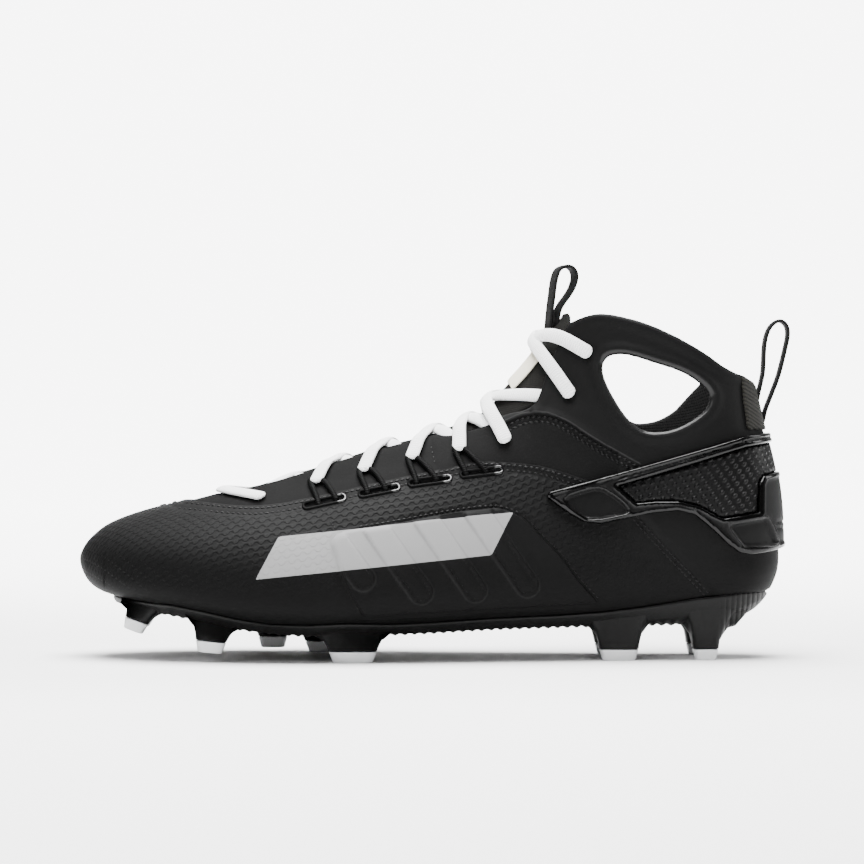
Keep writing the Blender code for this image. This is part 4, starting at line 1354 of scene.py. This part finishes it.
# %% Cords
CORD_ENDS = (((-50.4, 72.9), (-46.4, 64.3), (-44.3, 72.6), (-39.6, 66.1)),
             ((-30.3, 76.5), (-26.7, 68.6), (-24.3, 76.8), (-19.5, 70.0)),
             ((-10.6, 82.2), (-7.0, 72.8), (-6.2, 81.9), (0.9, 73.8)),
             ((8.4, 85.8), (13.0, 76.2), (13.0, 85.5), (20.9, 77.2)))
CORD = 2.4
CORD_CLEAR = 0.35
CORD_LIFT = 0.4


def cord_end(low, top, s):
    """Stops of one end of a cord, from inside its slot up to the lace."""
    u, down = find((low, top), s)
    return [(u[0], s * (down[0] + 0.8), -2.0), (u[0], s * (down[0] - 0.6), 0.0),
            (u[1], s * down[1], CORD_LIFT)]


cords = []
for k, (left_top, left_low, right_top, right_low) in enumerate(CORD_ENDS):
    for s, word in ((LATERAL, "lateral"), (MEDIAL, "medial")):
        stops = cord_end(left_low, left_top, s) + [(*stations[k + 1][s], CORD_LIFT)]
        stops += cord_end(right_low, right_top, s)[::-1]
        cords.append(wall_tube("cord_%s_%d" % (word, k + 1), stops, 48, CORD, CORD, 12, CORD_CLEAR))
print("cords:", len(cords))

# %% [markdown]
# Each cord leaves the skin through a slot with a moulded rim. The rim is a tube once more, along a line
# at an even distance from the slot's axis. A note keeps each point's distance from the slot's back
# end, because the rim shines only there.

# %% Slot rims
RIM = 1.0
RIM_OFF = 0.4


def half_round(end, way, radius, count):
    """Half a circle around the end of an axis, from its left to its right."""
    off = np.array([-way[1], way[0]])
    turn = np.linspace(0.0, math.pi, count)[:, None]
    return end + radius * (off * np.cos(turn) + way * np.sin(turn))


def skin_path(line, side, lift):
    """A side-view line laid on the upper's skin, with the wall's directions along it."""
    u, arc = find(line, side)
    places, ways = wall(u, arc, side)
    return places + ways * (relief(u, arc, np.full(len(u), float(side))) + lift)[:, None], ways


rims = []
for front, back in np.array(SLOTS):
    way = unit(back - front)
    rear = half_round(back, way, SLOT_HALF + RIM_OFF, 9)
    fore = half_round(front, -way, SLOT_HALF + RIM_OFF, 9)
    outline = even_line(np.vstack([rear, fore, rear[:1]]), 0.7)
    for s in (LATERAL, MEDIAL):
        path, ways = skin_path(outline, s, 0.1)
        rim = roll_tube("rim", path, np.cross(np.gradient(path, axis=0), ways), RIM * 1.3, RIM, 10)
        places = np.array([v.co for v in rim.data.vertices])[:, [0, 2]] / MM
        note(rim, "near_end", np.linalg.norm(places - back, axis=1))
        rims.append(rim)
rims = gather("slot_rims", rims)
print("slot rims:", len(rims.data.polygons), "faces")

# %% [markdown]
# Seams are sewn with thick thread, in rows that follow the seams at an offset. The rows beside the
# fingers run down one side, round the tip and back up.

# %% Rows of stitches
STITCH_COLUMNS = ("line", "offset", "pitch", "length", "thick", "slant")
FINGER_INSET = 1.9
FINGER_RUN = 26.0

finger_lines = []
for top, low_end in np.array(FINGERS):
    way = unit(low_end - top)
    tip = half_round(low_end, way, FINGER_HALF - FINGER_INSET, 12)
    finger_lines.append(np.vstack([tip[:1] - way * FINGER_RUN, tip, tip[-1:] - way * FINGER_RUN]))

STITCH_ROWS = [
    (seam_line, -1.0, 2.3, 1.9, 1.1, 8.0), (seam_line, -3.0, 2.3, 1.9, 1.1, -8.0),
    (yoke_line, 1.6, 2.3, 2.2, 1.4, 24.0), (yoke_line, 3.7, 2.3, 2.2, 1.4, -24.0),
    (side_line[:28], 1.4, 2.2, 1.8, 1.0, 0.0), (side_line[28:], 1.4, 2.2, 1.4, 0.7, 0.0),
    (heel_line, -2.2, 2.2, 1.8, 1.0, 0.0), (heel_line, -4.0, 2.2, 1.8, 1.0, 0.0),
    (PANEL_JOIN, 0.0, 1.8, 1.2, 0.7, 0.0),
] + [(line, 0.0, 1.5, 0.9, 0.5, 0.0) for line in finger_lines]
print("rows of stitches:", len(STITCH_ROWS))

# %% [markdown]
# One stitch is a small sphere drawn out along its row. Its points are copied to every place of a row,
# a little apart and lying on the skin, and all of them make one mesh. None is sewn through the stripe.

# %% Stitches
STITCH_RISE = 0.36

select_only()
bpy.ops.mesh.primitive_uv_sphere_add(segments=6, ring_count=5, radius=1.0)
ball = bpy.context.object
ball_points = np.array([v.co for v in ball.data.vertices])
ball_faces = [tuple(face.vertices) for face in ball.data.polygons]
bpy.data.objects.remove(ball)

points, faces = [], []
for stitch_row in STITCH_ROWS:
    row = dict(zip(STITCH_COLUMNS, stitch_row))
    slant = math.radians(row["slant"])
    line = even_line(shifted(row["line"], row["offset"]), row["pitch"])
    for s in (LATERAL, MEDIAL):
        path, ways = skin_path(line, s, 0.02)
        for place, way, run in zip(path, ways, np.gradient(path, axis=0)):
            on_film = stripe_depth(place[0], place[2], s) > -0.6
            if on_film or np.linalg.norm(run) > 2.0 * row["pitch"]:
                continue
            run = unit(run)
            run = run * math.cos(slant) + np.cross(way, run) * math.sin(slant)
            shape = (np.outer(ball_points[:, 2] * row["length"] / 2, run)
                     + np.outer(ball_points[:, 0] * row["thick"] / 2, np.cross(way, run))
                     + np.outer(ball_points[:, 1] * row["thick"] * STITCH_RISE, way))
            faces += [tuple(v + len(points) * len(ball_points) for v in face) for face in ball_faces]
            points.append(place + shape)
stitch_mesh = bpy.data.meshes.new("stitches")
stitch_mesh.from_pydata([tuple(p) for p in np.vstack(points) * MM], [], faces)
stitches = bpy.data.objects.new("stitches", stitch_mesh)
bpy.context.collection.objects.link(stitches)
mend(stitches, outward=True)
bpy.ops.object.shade_smooth()
print("stitches:", len(points))

# %% [markdown]
# ## Webbing loops
# Two flat tapes stand up for the fingers: one on the tongue, one behind the heel. They hold no load
# here, so each is one flat tube along a smooth path in the middle plane.

# %% Webbing loops
TONGUE_LOOP = ((47.3, 133.2), (47.6, 137.6), (48.1, 143.0), (48.8, 148.6), (49.8, 155.6), (51.2, 159.6),
               (53.8, 161.2), (56.2, 161.0), (57.9, 159.2), (58.3, 156.4), (57.2, 152.6), (55.2, 149.2),
               (53.0, 146.2), (51.4, 143.2), (50.6, 139.4), (50.4, 135.8), (50.4, 133.0))
HEEL_LOOP = ((133.4, 104.8), (134.4, 109.6), (135.3, 113.4), (136.2, 118.3), (136.8, 129.0), (138.4, 135.0),
             (140.9, 138.0), (143.5, 138.8), (145.8, 136.8), (146.4, 133.0), (145.2, 126.8),
             (142.6, 116.5), (139.6, 108.4), (137.2, 102.2), (136.0, 97.0))
TAPE_WIDE = 8.0
TAPE_THICK = 1.4
TAPES = (("tongue_tape", TONGUE_LOOP, -16.0), ("heel_tape", HEEL_LOOP, -1.5))

loops = []
for name, line, turn in TAPES:
    bend = even_line(smooth_line(line, 6), 0.8)
    path = np.stack([bend[:, 0], np.zeros(len(bend)), bend[:, 1]], axis=1)
    swing = math.radians(turn)
    across = np.tile((math.sin(swing), math.cos(swing), 0.0), (len(path), 1))
    loops.append(roll_tube(name, path, across, TAPE_WIDE, TAPE_THICK, 20, sharp=0.4, cap=0.08))
print("loops:", [piece.name for piece in loops])

# %% [markdown]
# ## Heel
# A glossy plastic clip grips the heel: a frame with a dimpled panel set into it. Both are pieces of the
# last's wall, lifted a little. The frame gets a double ridge along its upper edge and two recesses.

# %% Outlines of the heel's pieces
CLIP_OUTLINE = ((45.4, 66.6), (46.6, 68.4), (62.0, 72.6), (81.7, 78.2), (108.5, 86.0), (127.1, 91.4),
                (140.0, 92.6), (152.0, 92.8), (152.0, 45.6), (142.0, 45.8), (135.0, 44.4), (127.9, 43.4),
                (123.1, 44.4), (118.6, 47.7), (111.8, 54.2), (105.1, 59.7), (98.5, 61.2), (88.4, 60.3),
                (79.1, 58.3), (67.0, 55.8), (60.1, 56.8), (54.9, 59.6))
CLIP_WINDOW = ((74.0, 70.9), (85.1, 74.2), (105.0, 80.2), (125.0, 86.5), (140.0, 88.8), (152.0, 89.0),
               (152.0, 76.8), (139.0, 76.4), (132.8, 74.8), (131.2, 72.0), (131.0, 60.2), (116.5, 58.0),
               (113.0, 59.6), (107.1, 63.1), (98.5, 65.0), (89.6, 65.0), (81.7, 64.2))
CLIP_TOP = CLIP_OUTLINE[1:8]
FRONT_RECESS = ((53.0, 65.1), (62.3, 68.9), (68.8, 68.9), (77.6, 62.3), (75.6, 59.8), (63.5, 57.8),
                (60.2, 58.7))
REAR_RECESS = ((119.9, 54.3), (121.1, 55.3), (131.5, 57.0), (134.3, 56.7), (137.5, 49.3), (136.3, 47.5),
               (126.0, 47.1), (124.4, 48.1))
HEEL_TAB = ((125.0, 116.0), (125.8, 105.0), (127.4, 93.8), (150.0, 93.8), (150.0, 108.4), (138.0, 108.8),
            (133.4, 110.2), (130.4, 113.0))

recess_lines = [smooth_line(FRONT_RECESS, 3, True), smooth_line(REAR_RECESS, 3, True)]


def heel_top(u, side):
    """Arcs above the heel's pieces, where their sheets start."""
    return girth(u, side) * 0.42


def cut_from_wall(name, u, columns, outline, hole=None):
    """A piece of the heel's wall inside a side-view outline, with a hole where one is given."""
    made = pair(name, u, heel_top, bottom, np.linspace(0.0, 1.0, columns))
    score_at(made, lambda x, z, side: within(x, z, outline), 0.0, cut_away=True)
    if hole is not None:
        score_at(made, lambda x, z, side: -within(x, z, hole), 0.0, cut_away=True)
    return made


def clip_rim(x, z, side):
    """Distance into the clip's frame from its nearest edge."""
    return np.minimum(within(x, z, CLIP_OUTLINE), -within(x, z, CLIP_WINDOW))


def clip_recess(x, z, side):
    """Distance into the nearest recess of the clip, positive inside."""
    return np.max([within(x, z, line) for line in recess_lines], axis=0)


print("clip outline:", len(CLIP_OUTLINE), "points, window:", len(CLIP_WINDOW), "points")

# %% [markdown]
# The clip's edges are rounded, its faces sink a little behind them, and a groove along the top leaves a
# thin rail. Its note says how near a point is to an edge or a rail, which is where the gloss goes.

# %% Heel clip
CLIP = 2.4
RAIL = 1.5

heel_u = even_sections(10.2, 18.6, 0.85, share=0.8)
clip = cut_from_wall("clip_frame", heel_u, 96, CLIP_OUTLINE, CLIP_WINDOW)
score_at(clip, clip_rim, 0.3, 0.9, 1.6)
score_at(clip, clip_recess, -1.0, -0.4, 0.5)
x, z, side = side_view(clip)
rim, recess = clip_rim(x, z, side), clip_recess(x, z, side)
rail = from_line(x, z, CLIP_TOP)
lift = GAP + CLIP - rolled(rim, 0.9) - 0.5 * ramp(rim, 1.6, 2.4)
lift += 0.5 * hump(recess, -1.0, 1.0) - 1.0 * ramp(recess, -0.5, 0.5)
lift -= 0.55 * hump(rail, 2.0, 0.7) * ramp(recess, -1.8, -3.2)
lift -= 0.6 * (hump(z, 55.9, 0.7) + hump(z, 53.6, 0.7)) * ramp(x, 137.0, 139.0)
near_rim = np.minimum(rim, np.abs(recess + 0.8) + 1.4)
build_up(clip, lift, GAP, rim=np.minimum(near_rim, np.where(rail < RAIL, 0.5, 9.0)))

# %% [markdown]
# The panel fills the clip's window, and the ribbed tab covers the back of the collar. The panel's
# dimples have to run evenly round the heel, so a note counts millimetres along its side and then around
# a circle at the back.

# %% Heel panel and tab
PANEL = 1.1
TAB = 1.0
HEEL_MIDDLE = 104.0
HEEL_RADIUS = 33.0

panel_piece = cut_from_wall("clip_panel", heel_u, 96, CLIP_WINDOW)
x, z, side = side_view(panel_piece)
y = on_wall(*addresses(panel_piece))[0][:, 1]
turn = np.arctan2(np.abs(y), np.maximum(x - HEEL_MIDDLE, 0.0))
around = np.where(x < HEEL_MIDDLE, x, HEEL_MIDDLE + HEEL_RADIUS * (math.pi / 2 - turn))
lift = np.where(within(x, z, CLIP_WINDOW) < 0.3, GAP, GAP + PANEL)
build_up(panel_piece, lift, GAP / 2, around=around)

tab = cut_from_wall("webbing_tab", even_sections(15.0, 20.0, 0.9, share=0.9), 70, HEEL_TAB)
x, z, side = side_view(tab)
build_up(tab, GAP + TAB - rolled(within(x, z, HEEL_TAB), 0.45), GAP)

# %% [markdown]
# ## Plate and studs
# The plate is the lowest strip of wall, a few millimetres thick, drawn up to the bite line, where sole
# and upper meet. It grows thicker from its rim inwards, and fine waves run across its underside.

# %% Plate
BITE_LINE = ((-150.0, 30.0), (-127.0, 26.5), (-113.0, 24.6), (-92.5, 21.0), (-79.0, 18.0), (-66.0, 15.8),
             (-50.0, 15.6), (-36.0, 16.4), (-17.0, 15.8), (0.0, 16.4), (22.0, 17.8), (51.0, 19.0),
             (68.0, 20.2), (84.5, 22.2), (107.0, 25.8), (125.0, 27.8), (150.0, 28.4))
PLATE_ENDS = (3.1, 14.4)
PLATE = 2.6
SEAT = 0.75
PLATE_TURNS = (3.11, 3.13, 3.17, 14.3, 14.36, 14.39)
WAVE = 3.9


def plate_edge(u, side):
    """Where the plate ends on the upper: the bite line, drawn in to a point at the toe."""
    points, along = half_rings(u, side)
    above = points[:, :, 2] - read_table(BITE_LINE, points[:, :, 0])
    out = np.empty(len(u))
    for i, row in enumerate(above):
        k = np.flatnonzero(row >= 0)
        k = min(k[-1] if len(k) else 0, len(row) - 2)
        share = row[k] / (row[k] - row[k + 1]) if row[k] > 0 > row[k + 1] else 1.0
        out[i] = along[i, k] + np.clip(share, 0.0, 1.0) * (along[i, k + 1] - along[i, k])
    front = np.sqrt(np.clip((u - PLATE_ENDS[0]) / 1.6, 0.0, 1.0))
    back = np.where(u >= PLATE_ENDS[1] - 1e-6, 0.0, 1.0)
    return along[:, -1] - (along[:, -1] - out) * front * back


plate_u = np.union1d(even_sections(*PLATE_ENDS, 0.8, share=1.0), PLATE_TURNS)
plate = pair("plate_shell", plate_u, plate_edge, bottom, np.linspace(0.0, 1.0, 44) ** 1.25)
u, arc, side = addresses(plate)
x = side_view(plate)[0]
depth = arc - own_side(plate_edge, u, side)
thick = SEAT + PLATE * np.clip(0.14 + depth / 8.0, 0.0, 1.0) * (1 - 0.6 * ramp(x, 118.0, 136.0))
waves = 0.45 * np.cos(2 * math.pi * x / WAVE) * ramp(depth, 6.0, 12.0) * (1 - ramp(x, 96.0, 106.0))
build_up(plate, thick + waves - rolled(depth, 0.7), SEAT)

# %% [markdown]
# A stud is a stack of rounded rings that leans with the toe spring and flares into the plate. Its outer
# face runs up to the plate's rim in one slope. To end a stud in the plate we need the height of the
# last's bottom above any point of the floor, which the last's own points give.

# %% Rings of a stud
TIP = 4.4
STUD_SIDES = 40
STUD_SHARP = 0.55
STUD_HEIGHT = 11.0

underside = slice(STEPS_A_SECTION * 5 // 2, STEPS_A_SECTION * 15), slice(len(SHARES) // 2, None)
floor_points = np.vstack([LAST[s][0][underside].reshape(-1, 3) for s in (LATERAL, MEDIAL)])
floor_points = floor_points[floor_points[:, 2] < read_table(BITE_LINE, floor_points[:, 0])]


def bottom_height(x, y):
    """Height of the last's bottom over points of the floor."""
    return np.array([floor_points[((floor_points[:, :2] - (a, b)) ** 2).sum(axis=1).argmin(), 2]
                     for a, b in zip(x, y)])


def stud_rings(row, heights, sizes):
    """Rounded rings stacked up from a stud's floor face."""
    lean = math.radians(row["lean"])
    c, s = squared(np.arange(STUD_SIDES) * 2 * math.pi / STUD_SIDES, STUD_SHARP)
    rings = []
    for height, size in zip(heights, sizes):
        grow = 1.0 + (row["spread"] - 1.0) * height / STUD_HEIGHT
        back = row["flare"] * np.clip((height - TIP - 1.0) / 6.2, 0.0, 1.0) ** 1.6
        a = c * (row["length"] / 2 * grow + size) + np.clip(c, 0.0, 1.0) * back
        b = s * (row["width"] / 2 * grow + size * 0.3)
        rings.append(np.stack([row["x"] + a * math.cos(lean) + height * math.sin(lean), row["y"] + b,
                               row["face_z"] - a * math.sin(lean) + height * math.cos(lean)], axis=1))
    return np.array(rings)


print("points under the foot:", len(floor_points))

# %% [markdown]
# Rings become a solid in two steps: a grid is rolled up along them, and both open ends are filled. The
# outer face of a body is drawn out before that, each ring by its own share of the way to the rim.

# %% Drawing out and stacking rings
STUD_SHARES = ((2, 0.16), (3, 0.34), (4, 0.55), (5, 0.72), (6, 0.9), (7, 1.0))
RIM_DROP = 1.6


def draw_out(row, body):
    """The outer face of a stud runs up to the plate's rim in one slope."""
    side = LATERAL if row["y"] < 0 else MEDIAL
    outward = ramp((body[-1, :, 1] - row["y"]) * side, 0.0, row["width"] / 2)
    top_x = body[-1, :, 0]
    top_z = read_table(BITE_LINE, top_x) - RIM_DROP
    u, arc = find(np.stack([top_x, top_z], axis=1), side)
    top_y = wall(u, arc, side)[0][:, 1] + side * SEAT
    rim = np.stack([top_y, top_z], axis=1)
    foot = body[1, :, 1:].copy()
    for ring, share in STUD_SHARES:
        slope = foot + (rim - foot) * share
        body[ring, :, 1:] += outward[:, None] * (slope - body[ring, :, 1:])


def stack(name, rings):
    """A closed stack of rings: a cylinder's side as a rolled grid, its ends filled."""
    count, sides = rings.shape[:2]
    made = new_grid(name, sides, count - 1, np.concatenate([rings, rings[:, :1]], axis=1))
    mend(made, weld=WELD)
    bpy.ops.object.mode_set(mode="EDIT")
    bpy.ops.mesh.select_all(action="DESELECT")
    bpy.ops.mesh.select_non_manifold(extend=False)
    bpy.ops.mesh.edge_face_add()
    bpy.ops.object.mode_set(mode="OBJECT")
    mend(made, outward=True)
    bpy.ops.object.shade_smooth_by_angle(angle=math.radians(40))
    return made


print("rings that are drawn out:", len(STUD_SHARES))

# %% [markdown]
# Ten studs stand under the plate. The rings of a body are spread between the tip's top and the plate
# above it, and the last one sinks in. The pale tip is a second stack with a small rounded foot.

# %% Studs and tips
STUD_COLUMNS = ("name", "x", "y", "face_z", "length", "width", "spread", "lean", "flare")
STUDS = (
    ("toe_lateral", -122.6, -17.0, 11.8, 8.0, 7.0, 1.6, 20.0, 0.0),
    ("toe_medial", -123.6, 24.0, 12.4, 8.0, 7.0, 1.6, 20.0, 0.0),
    ("front_lateral", -90.2, -33.0, 4.0, 9.8, 7.4, 1.6, 6.0, 0.0),
    ("front_medial", -68.0, 34.0, 1.8, 9.8, 7.4, 1.6, 0.0, 0.0),
    ("ball_lateral", -32.5, -35.0, 0.0, 15.8, 8.4, 1.55, 0.0, 0.0),
    ("ball_medial", -44.5, 31.0, 0.0, 15.8, 8.4, 1.55, 0.0, 0.0),
    ("heel_front_lateral", 75.5, -20.5, 0.0, 13.4, 8.0, 1.45, 0.0, 0.0),
    ("heel_front_medial", 75.5, 19.5, 0.0, 13.4, 8.0, 1.45, 0.0, 0.0),
    ("heel_rear_lateral", 111.0, -17.0, 0.0, 8.4, 9.6, 1.6, 0.0, 8.0),
    ("heel_rear_medial", 111.0, 17.0, 0.0, 8.4, 9.6, 1.6, 0.0, 8.0),
)
BODY_HEIGHTS = (TIP + GAP, TIP + GAP + 0.2, 6.0, 7.5, 9.0, 10.2, 11.0, 11.6)
BODY_SIZES = (-0.25, 0.0, 0.0, 0.05, 0.25, 0.9, 2.0, 3.4)
TIP_HEIGHTS = (0.0, 0.12, 0.4, 1.5, 3.0, TIP - 0.25, TIP - 0.05, TIP)
TIP_SIZES = (-0.55, -0.22, 0.0, 0.0, 0.0, 0.0, -0.1, -0.3)
SUNK = 0.6

studs, tips = [], []
for stud in STUDS:
    row = dict(zip(STUD_COLUMNS, stud))
    body = stud_rings(row, BODY_HEIGHTS, BODY_SIZES)
    low = body[1, :, 2]
    for ring, share in STUD_SHARES[3:]:
        plate_z = bottom_height(*body[ring, :, :2].T) - SEAT - PLATE
        body[ring, :, 2] = low + (plate_z - low) * share
    body[-1, :, 2] += SUNK
    for ring, share in STUD_SHARES[:3]:
        body[ring, :, 2] = low + (body[-1, :, 2] - low) * share
    draw_out(row, body)
    studs.append(stack("stud_" + row["name"], body))
    tips.append(stack("tip_" + row["name"], stud_rings(row, TIP_HEIGHTS, TIP_SIZES)))
print("studs:", len(studs))

# %% [markdown]
# ## Finishes of the other pieces
# Cloth comes first. The tongue and the insole wear a dark open mesh, made of two crossed waves that
# are sunk and darkened in the holes. The label is plain cream cloth with a little mottle.

# %% Mesh and label cloth
MESH = 1.5

mesh_cloth = Finish("tongue_mesh", roughness=0.9, specular_ior_level=0.2)
along, down, _ = mesh_cloth.pattern().axes()
holes = (along.wave(MESH) * down.wave(MESH)).step(0.2, 0.8)
mesh_cloth.set("Base Color", holes.choose((0.0036, 0.0033, 0.0024, 1.0), (0.0008, 0.0007, 0.0005, 1.0)))
mesh_cloth.bump(holes * -0.4)
mesh_cloth.on(tongue, insole)

cream = Finish("label_cloth", roughness=0.8)
cream.set("Base Color", cream.noise(1.0).choose((0.62, 0.58, 0.47, 1.0), (0.70, 0.66, 0.55, 1.0)))
cream.on(label)
print("finishes:", mesh_cloth.material.name, cream.material.name)

# %% [markdown]
# Woven pieces have ribs. The lace is a braid, so its ribs form small chevrons along the tube. The cord
# is twisted, so its rib climbs as it goes around. Tape and tab have plain ribs across them.

# %% Lace, cord, tape and tab
woven = Finish("lace_weave", roughness=0.85, specular_ior_level=0.2)
along, around, _ = woven.pattern().axes()
ribs = abs((along + abs((around * 12.0).repeat(1.0)) * 0.7).wave(2.2))
woven.set("Base Color", ribs.choose(grey(0.80), grey(0.96)))
woven.bump(ribs * 0.24 + woven.noise(0.3) * 0.1)
woven.on(toe_bar, *crossings)

cord_finish = Finish("cord_weave", roughness=0.6, specular_ior_level=0.05)
along, around, _ = cord_finish.pattern().axes()
twist = abs((along + around * 1.8).wave(1.8))
cord_finish.set("Base Color", twist.choose(grey(0.0003), grey(0.0010)))
cord_finish.bump(twist * 0.15)
cord_finish.on(*cords)

tape = Finish("tape_weave", roughness=0.8, specular_ior_level=0.12)
along, around, _ = tape.pattern().axes()
rib = abs(along.wave(1.5))
tape.set("Base Color", rib.choose(grey(0.0014), grey(0.0060)))
tape.bump(rib * 0.1)
tape.on(*loops)

ribbed = Finish("tab_weave", roughness=0.8, specular_ior_level=0.15)
along, down, _ = ribbed.pattern().axes()
rib = abs(along.wave(2.2))
ribbed.set("Base Color", rib.choose((0.0016, 0.0015, 0.0012, 1.0), (0.0130, 0.0124, 0.0100, 1.0)))
ribbed.bump(rib * 0.25 + ribbed.noise(0.3) * 0.08)
ribbed.on(tab)
print("finishes:", woven.material.name, cord_finish.material.name, tape.material.name, ribbed.material.name)

# %% [markdown]
# The clip is black plastic: mirror-smooth under a clear coat along its edges and rails, and satin on the
# faces between them. The slot rims are satin too and shine at their back end only. The thread is waxed.

# %% Clip, slot rims and thread
gloss = Finish("clip_plastic", specular_ior_level=0.09)
face = gloss.noted("rim").step(1.3, 2.2)
gloss.set("Base Color", face.choose(grey(0.0006), gloss.noise(6.0).choose(grey(0.0020), grey(0.0030))))
gloss.set("Roughness", 0.16 + face * 0.34 + gloss.noise(3.0) * 0.05)
gloss.set("Coat Weight", 0.24 - face * 0.24)
gloss.set("Coat Roughness", 0.12)
gloss.bump(gloss.noise(0.6) * 0.03 * face)
gloss.on(clip)

shiny = Finish("rim_plastic", specular_ior_level=0.04)
shiny.set("Base Color", shiny.noise(2.0).choose(grey(0.0006), grey(0.0012)))
shiny.set("Roughness", 0.5 + shiny.noise(1.0) * 0.08)
shiny.set("Coat Weight", shiny.noted("near_end").step(2.6, 1.5))
shiny.set("Coat Roughness", 0.08)
shiny.on(rims)

thread = Finish("thread", specular_ior_level=0.14, roughness=0.42)
thread.set("Base Color", thread.noise(1.5).choose(grey(0.0004), grey(0.0012)))
thread.bump(thread.noise(0.25) * 0.1)
thread.on(stitches)
print("finishes:", gloss.material.name, shiny.material.name, thread.material.name)

# %% [markdown]
# The heel panel is rubber with small domes in slanted rows. Two grids of cells are shifted by half a
# cell against each other. Each point asks both for its distance from the cell's middle, and the nearer
# one makes the dome.

# %% Heel panel
DIMPLE = 3.6
ROW_PITCH = DIMPLE * 0.66
ROW_SLANT = 0.2

dimpled = Finish("panel_rubber", specular_ior_level=0.12)
around = dimpled.noted("around")
height = dimpled.place().axes()[2] * 1000.0
slant = around - height * ROW_SLANT
row_z = height - around * ROW_SLANT
ax, az = slant.repeat(DIMPLE), row_z.repeat(2 * ROW_PITCH)
bx, bz = (slant + DIMPLE / 2).repeat(DIMPLE), (row_z + ROW_PITCH).repeat(2 * ROW_PITCH)
near = (ax * ax + az * az).least(bx * bx + bz * bz)
dome = 1.0 - near.step(0.0, 1.1)
# Painted highlight: each dome's colour is lighter than the rubber between the domes.
dimpled.set("Base Color", dome.choose(grey(0.0006), grey(0.0030)))
dimpled.set("Roughness", 0.42 - dome * 0.10)
dimpled.bump(dome * 0.75 + dimpled.noise(0.5) * 0.03)
dimpled.on(panel_piece)
print("finish:", dimpled.material.name)

# %% [markdown]
# The plate is hard black plastic with fine upright streaks: noise that is stretched along Z. Upright
# ribs show at the back of the heel. The tips are pale and a little scuffed.

# %% Plate and tips
plate_plastic = Finish("plate_plastic", specular_ior_level=0.14)
px = plate_plastic.place().axes()[0]
streaks = plate_plastic.noise(0.9, 3.0, plate_plastic.node(
    "Mapping", {"Vector": plate_plastic.place(), "Scale": (1.0, 1.0, 0.06)}))
ribs = abs((px * 1000.0).wave(4.4)) * px.step(0.114, 0.120) * 0.3
plate_plastic.set("Base Color", streaks.choose(grey(0.0012), grey(0.0034)))
plate_plastic.set("Roughness", 0.42 + streaks * 0.2)
plate_plastic.bump(streaks * 0.12 + ribs * 0.9)
plate_plastic.on(plate, *studs)

tip_plastic = Finish("tip_plastic", specular_ior_level=0.5)
tip_plastic.set("Base Color", tip_plastic.noise(4.0).choose(grey(0.60, -0.01), grey(0.70, -0.01)))
tip_plastic.set("Roughness", 0.35 + tip_plastic.noise(1.0) * 0.2)
tip_plastic.on(*tips)
print("finishes:", len(bpy.data.materials))

# %% [markdown]
# ## Hand over
# Every piece rides on the shoe, and the CAD solids that it stands for are hidden. Stitches, slot rims and
# stud bodies stand for no solid of their own.

# %% Hand over
def hand_over(piece, slot, *nodes):
    """A piece that rides on the shoe in place of CAD solids."""
    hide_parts(*nodes)
    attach(piece, "root")


hand_over(upper, "skin", "upper")
for piece, slot_name in ((stitches, "skin"), (rims, "cord")):
    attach(piece, "root")
hand_over(tongue, "mesh", "tongue")
hand_over(insole, "foam", "insole")
hand_over(label, "label", "tongue_label")
hand_over(toe_bar, "lace", "lace_toe_bar")
for k, piece in enumerate(crossings):
    hand_over(piece, "lace", "lace_cross_%d" % (k + 1))
for piece in cords:
    hand_over(piece, "cord", piece.name.replace("cord", "lace_loop"))
hand_over(loops[0], "webbing", "tongue_loop")
hand_over(loops[1], "webbing", "heel_loop")
hand_over(clip, "clip", "heel_clip")
hand_over(panel_piece, "panel", "heel_panel")
hand_over(tab, "webbing", "heel_tab")
hand_over(plate, "plate", "outsole")
for piece in studs:
    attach(piece, "root")
for piece in tips:
    hand_over(piece, "tip", "stud_" + piece.name)
handed = (upper, stitches, rims, tongue, insole, label, toe_bar, clip, panel_piece, tab, plate,
          *loops, *crossings, *cords, *studs, *tips)
print("pieces handed over:", len(handed))

# %% [markdown]

# %% [markdown]
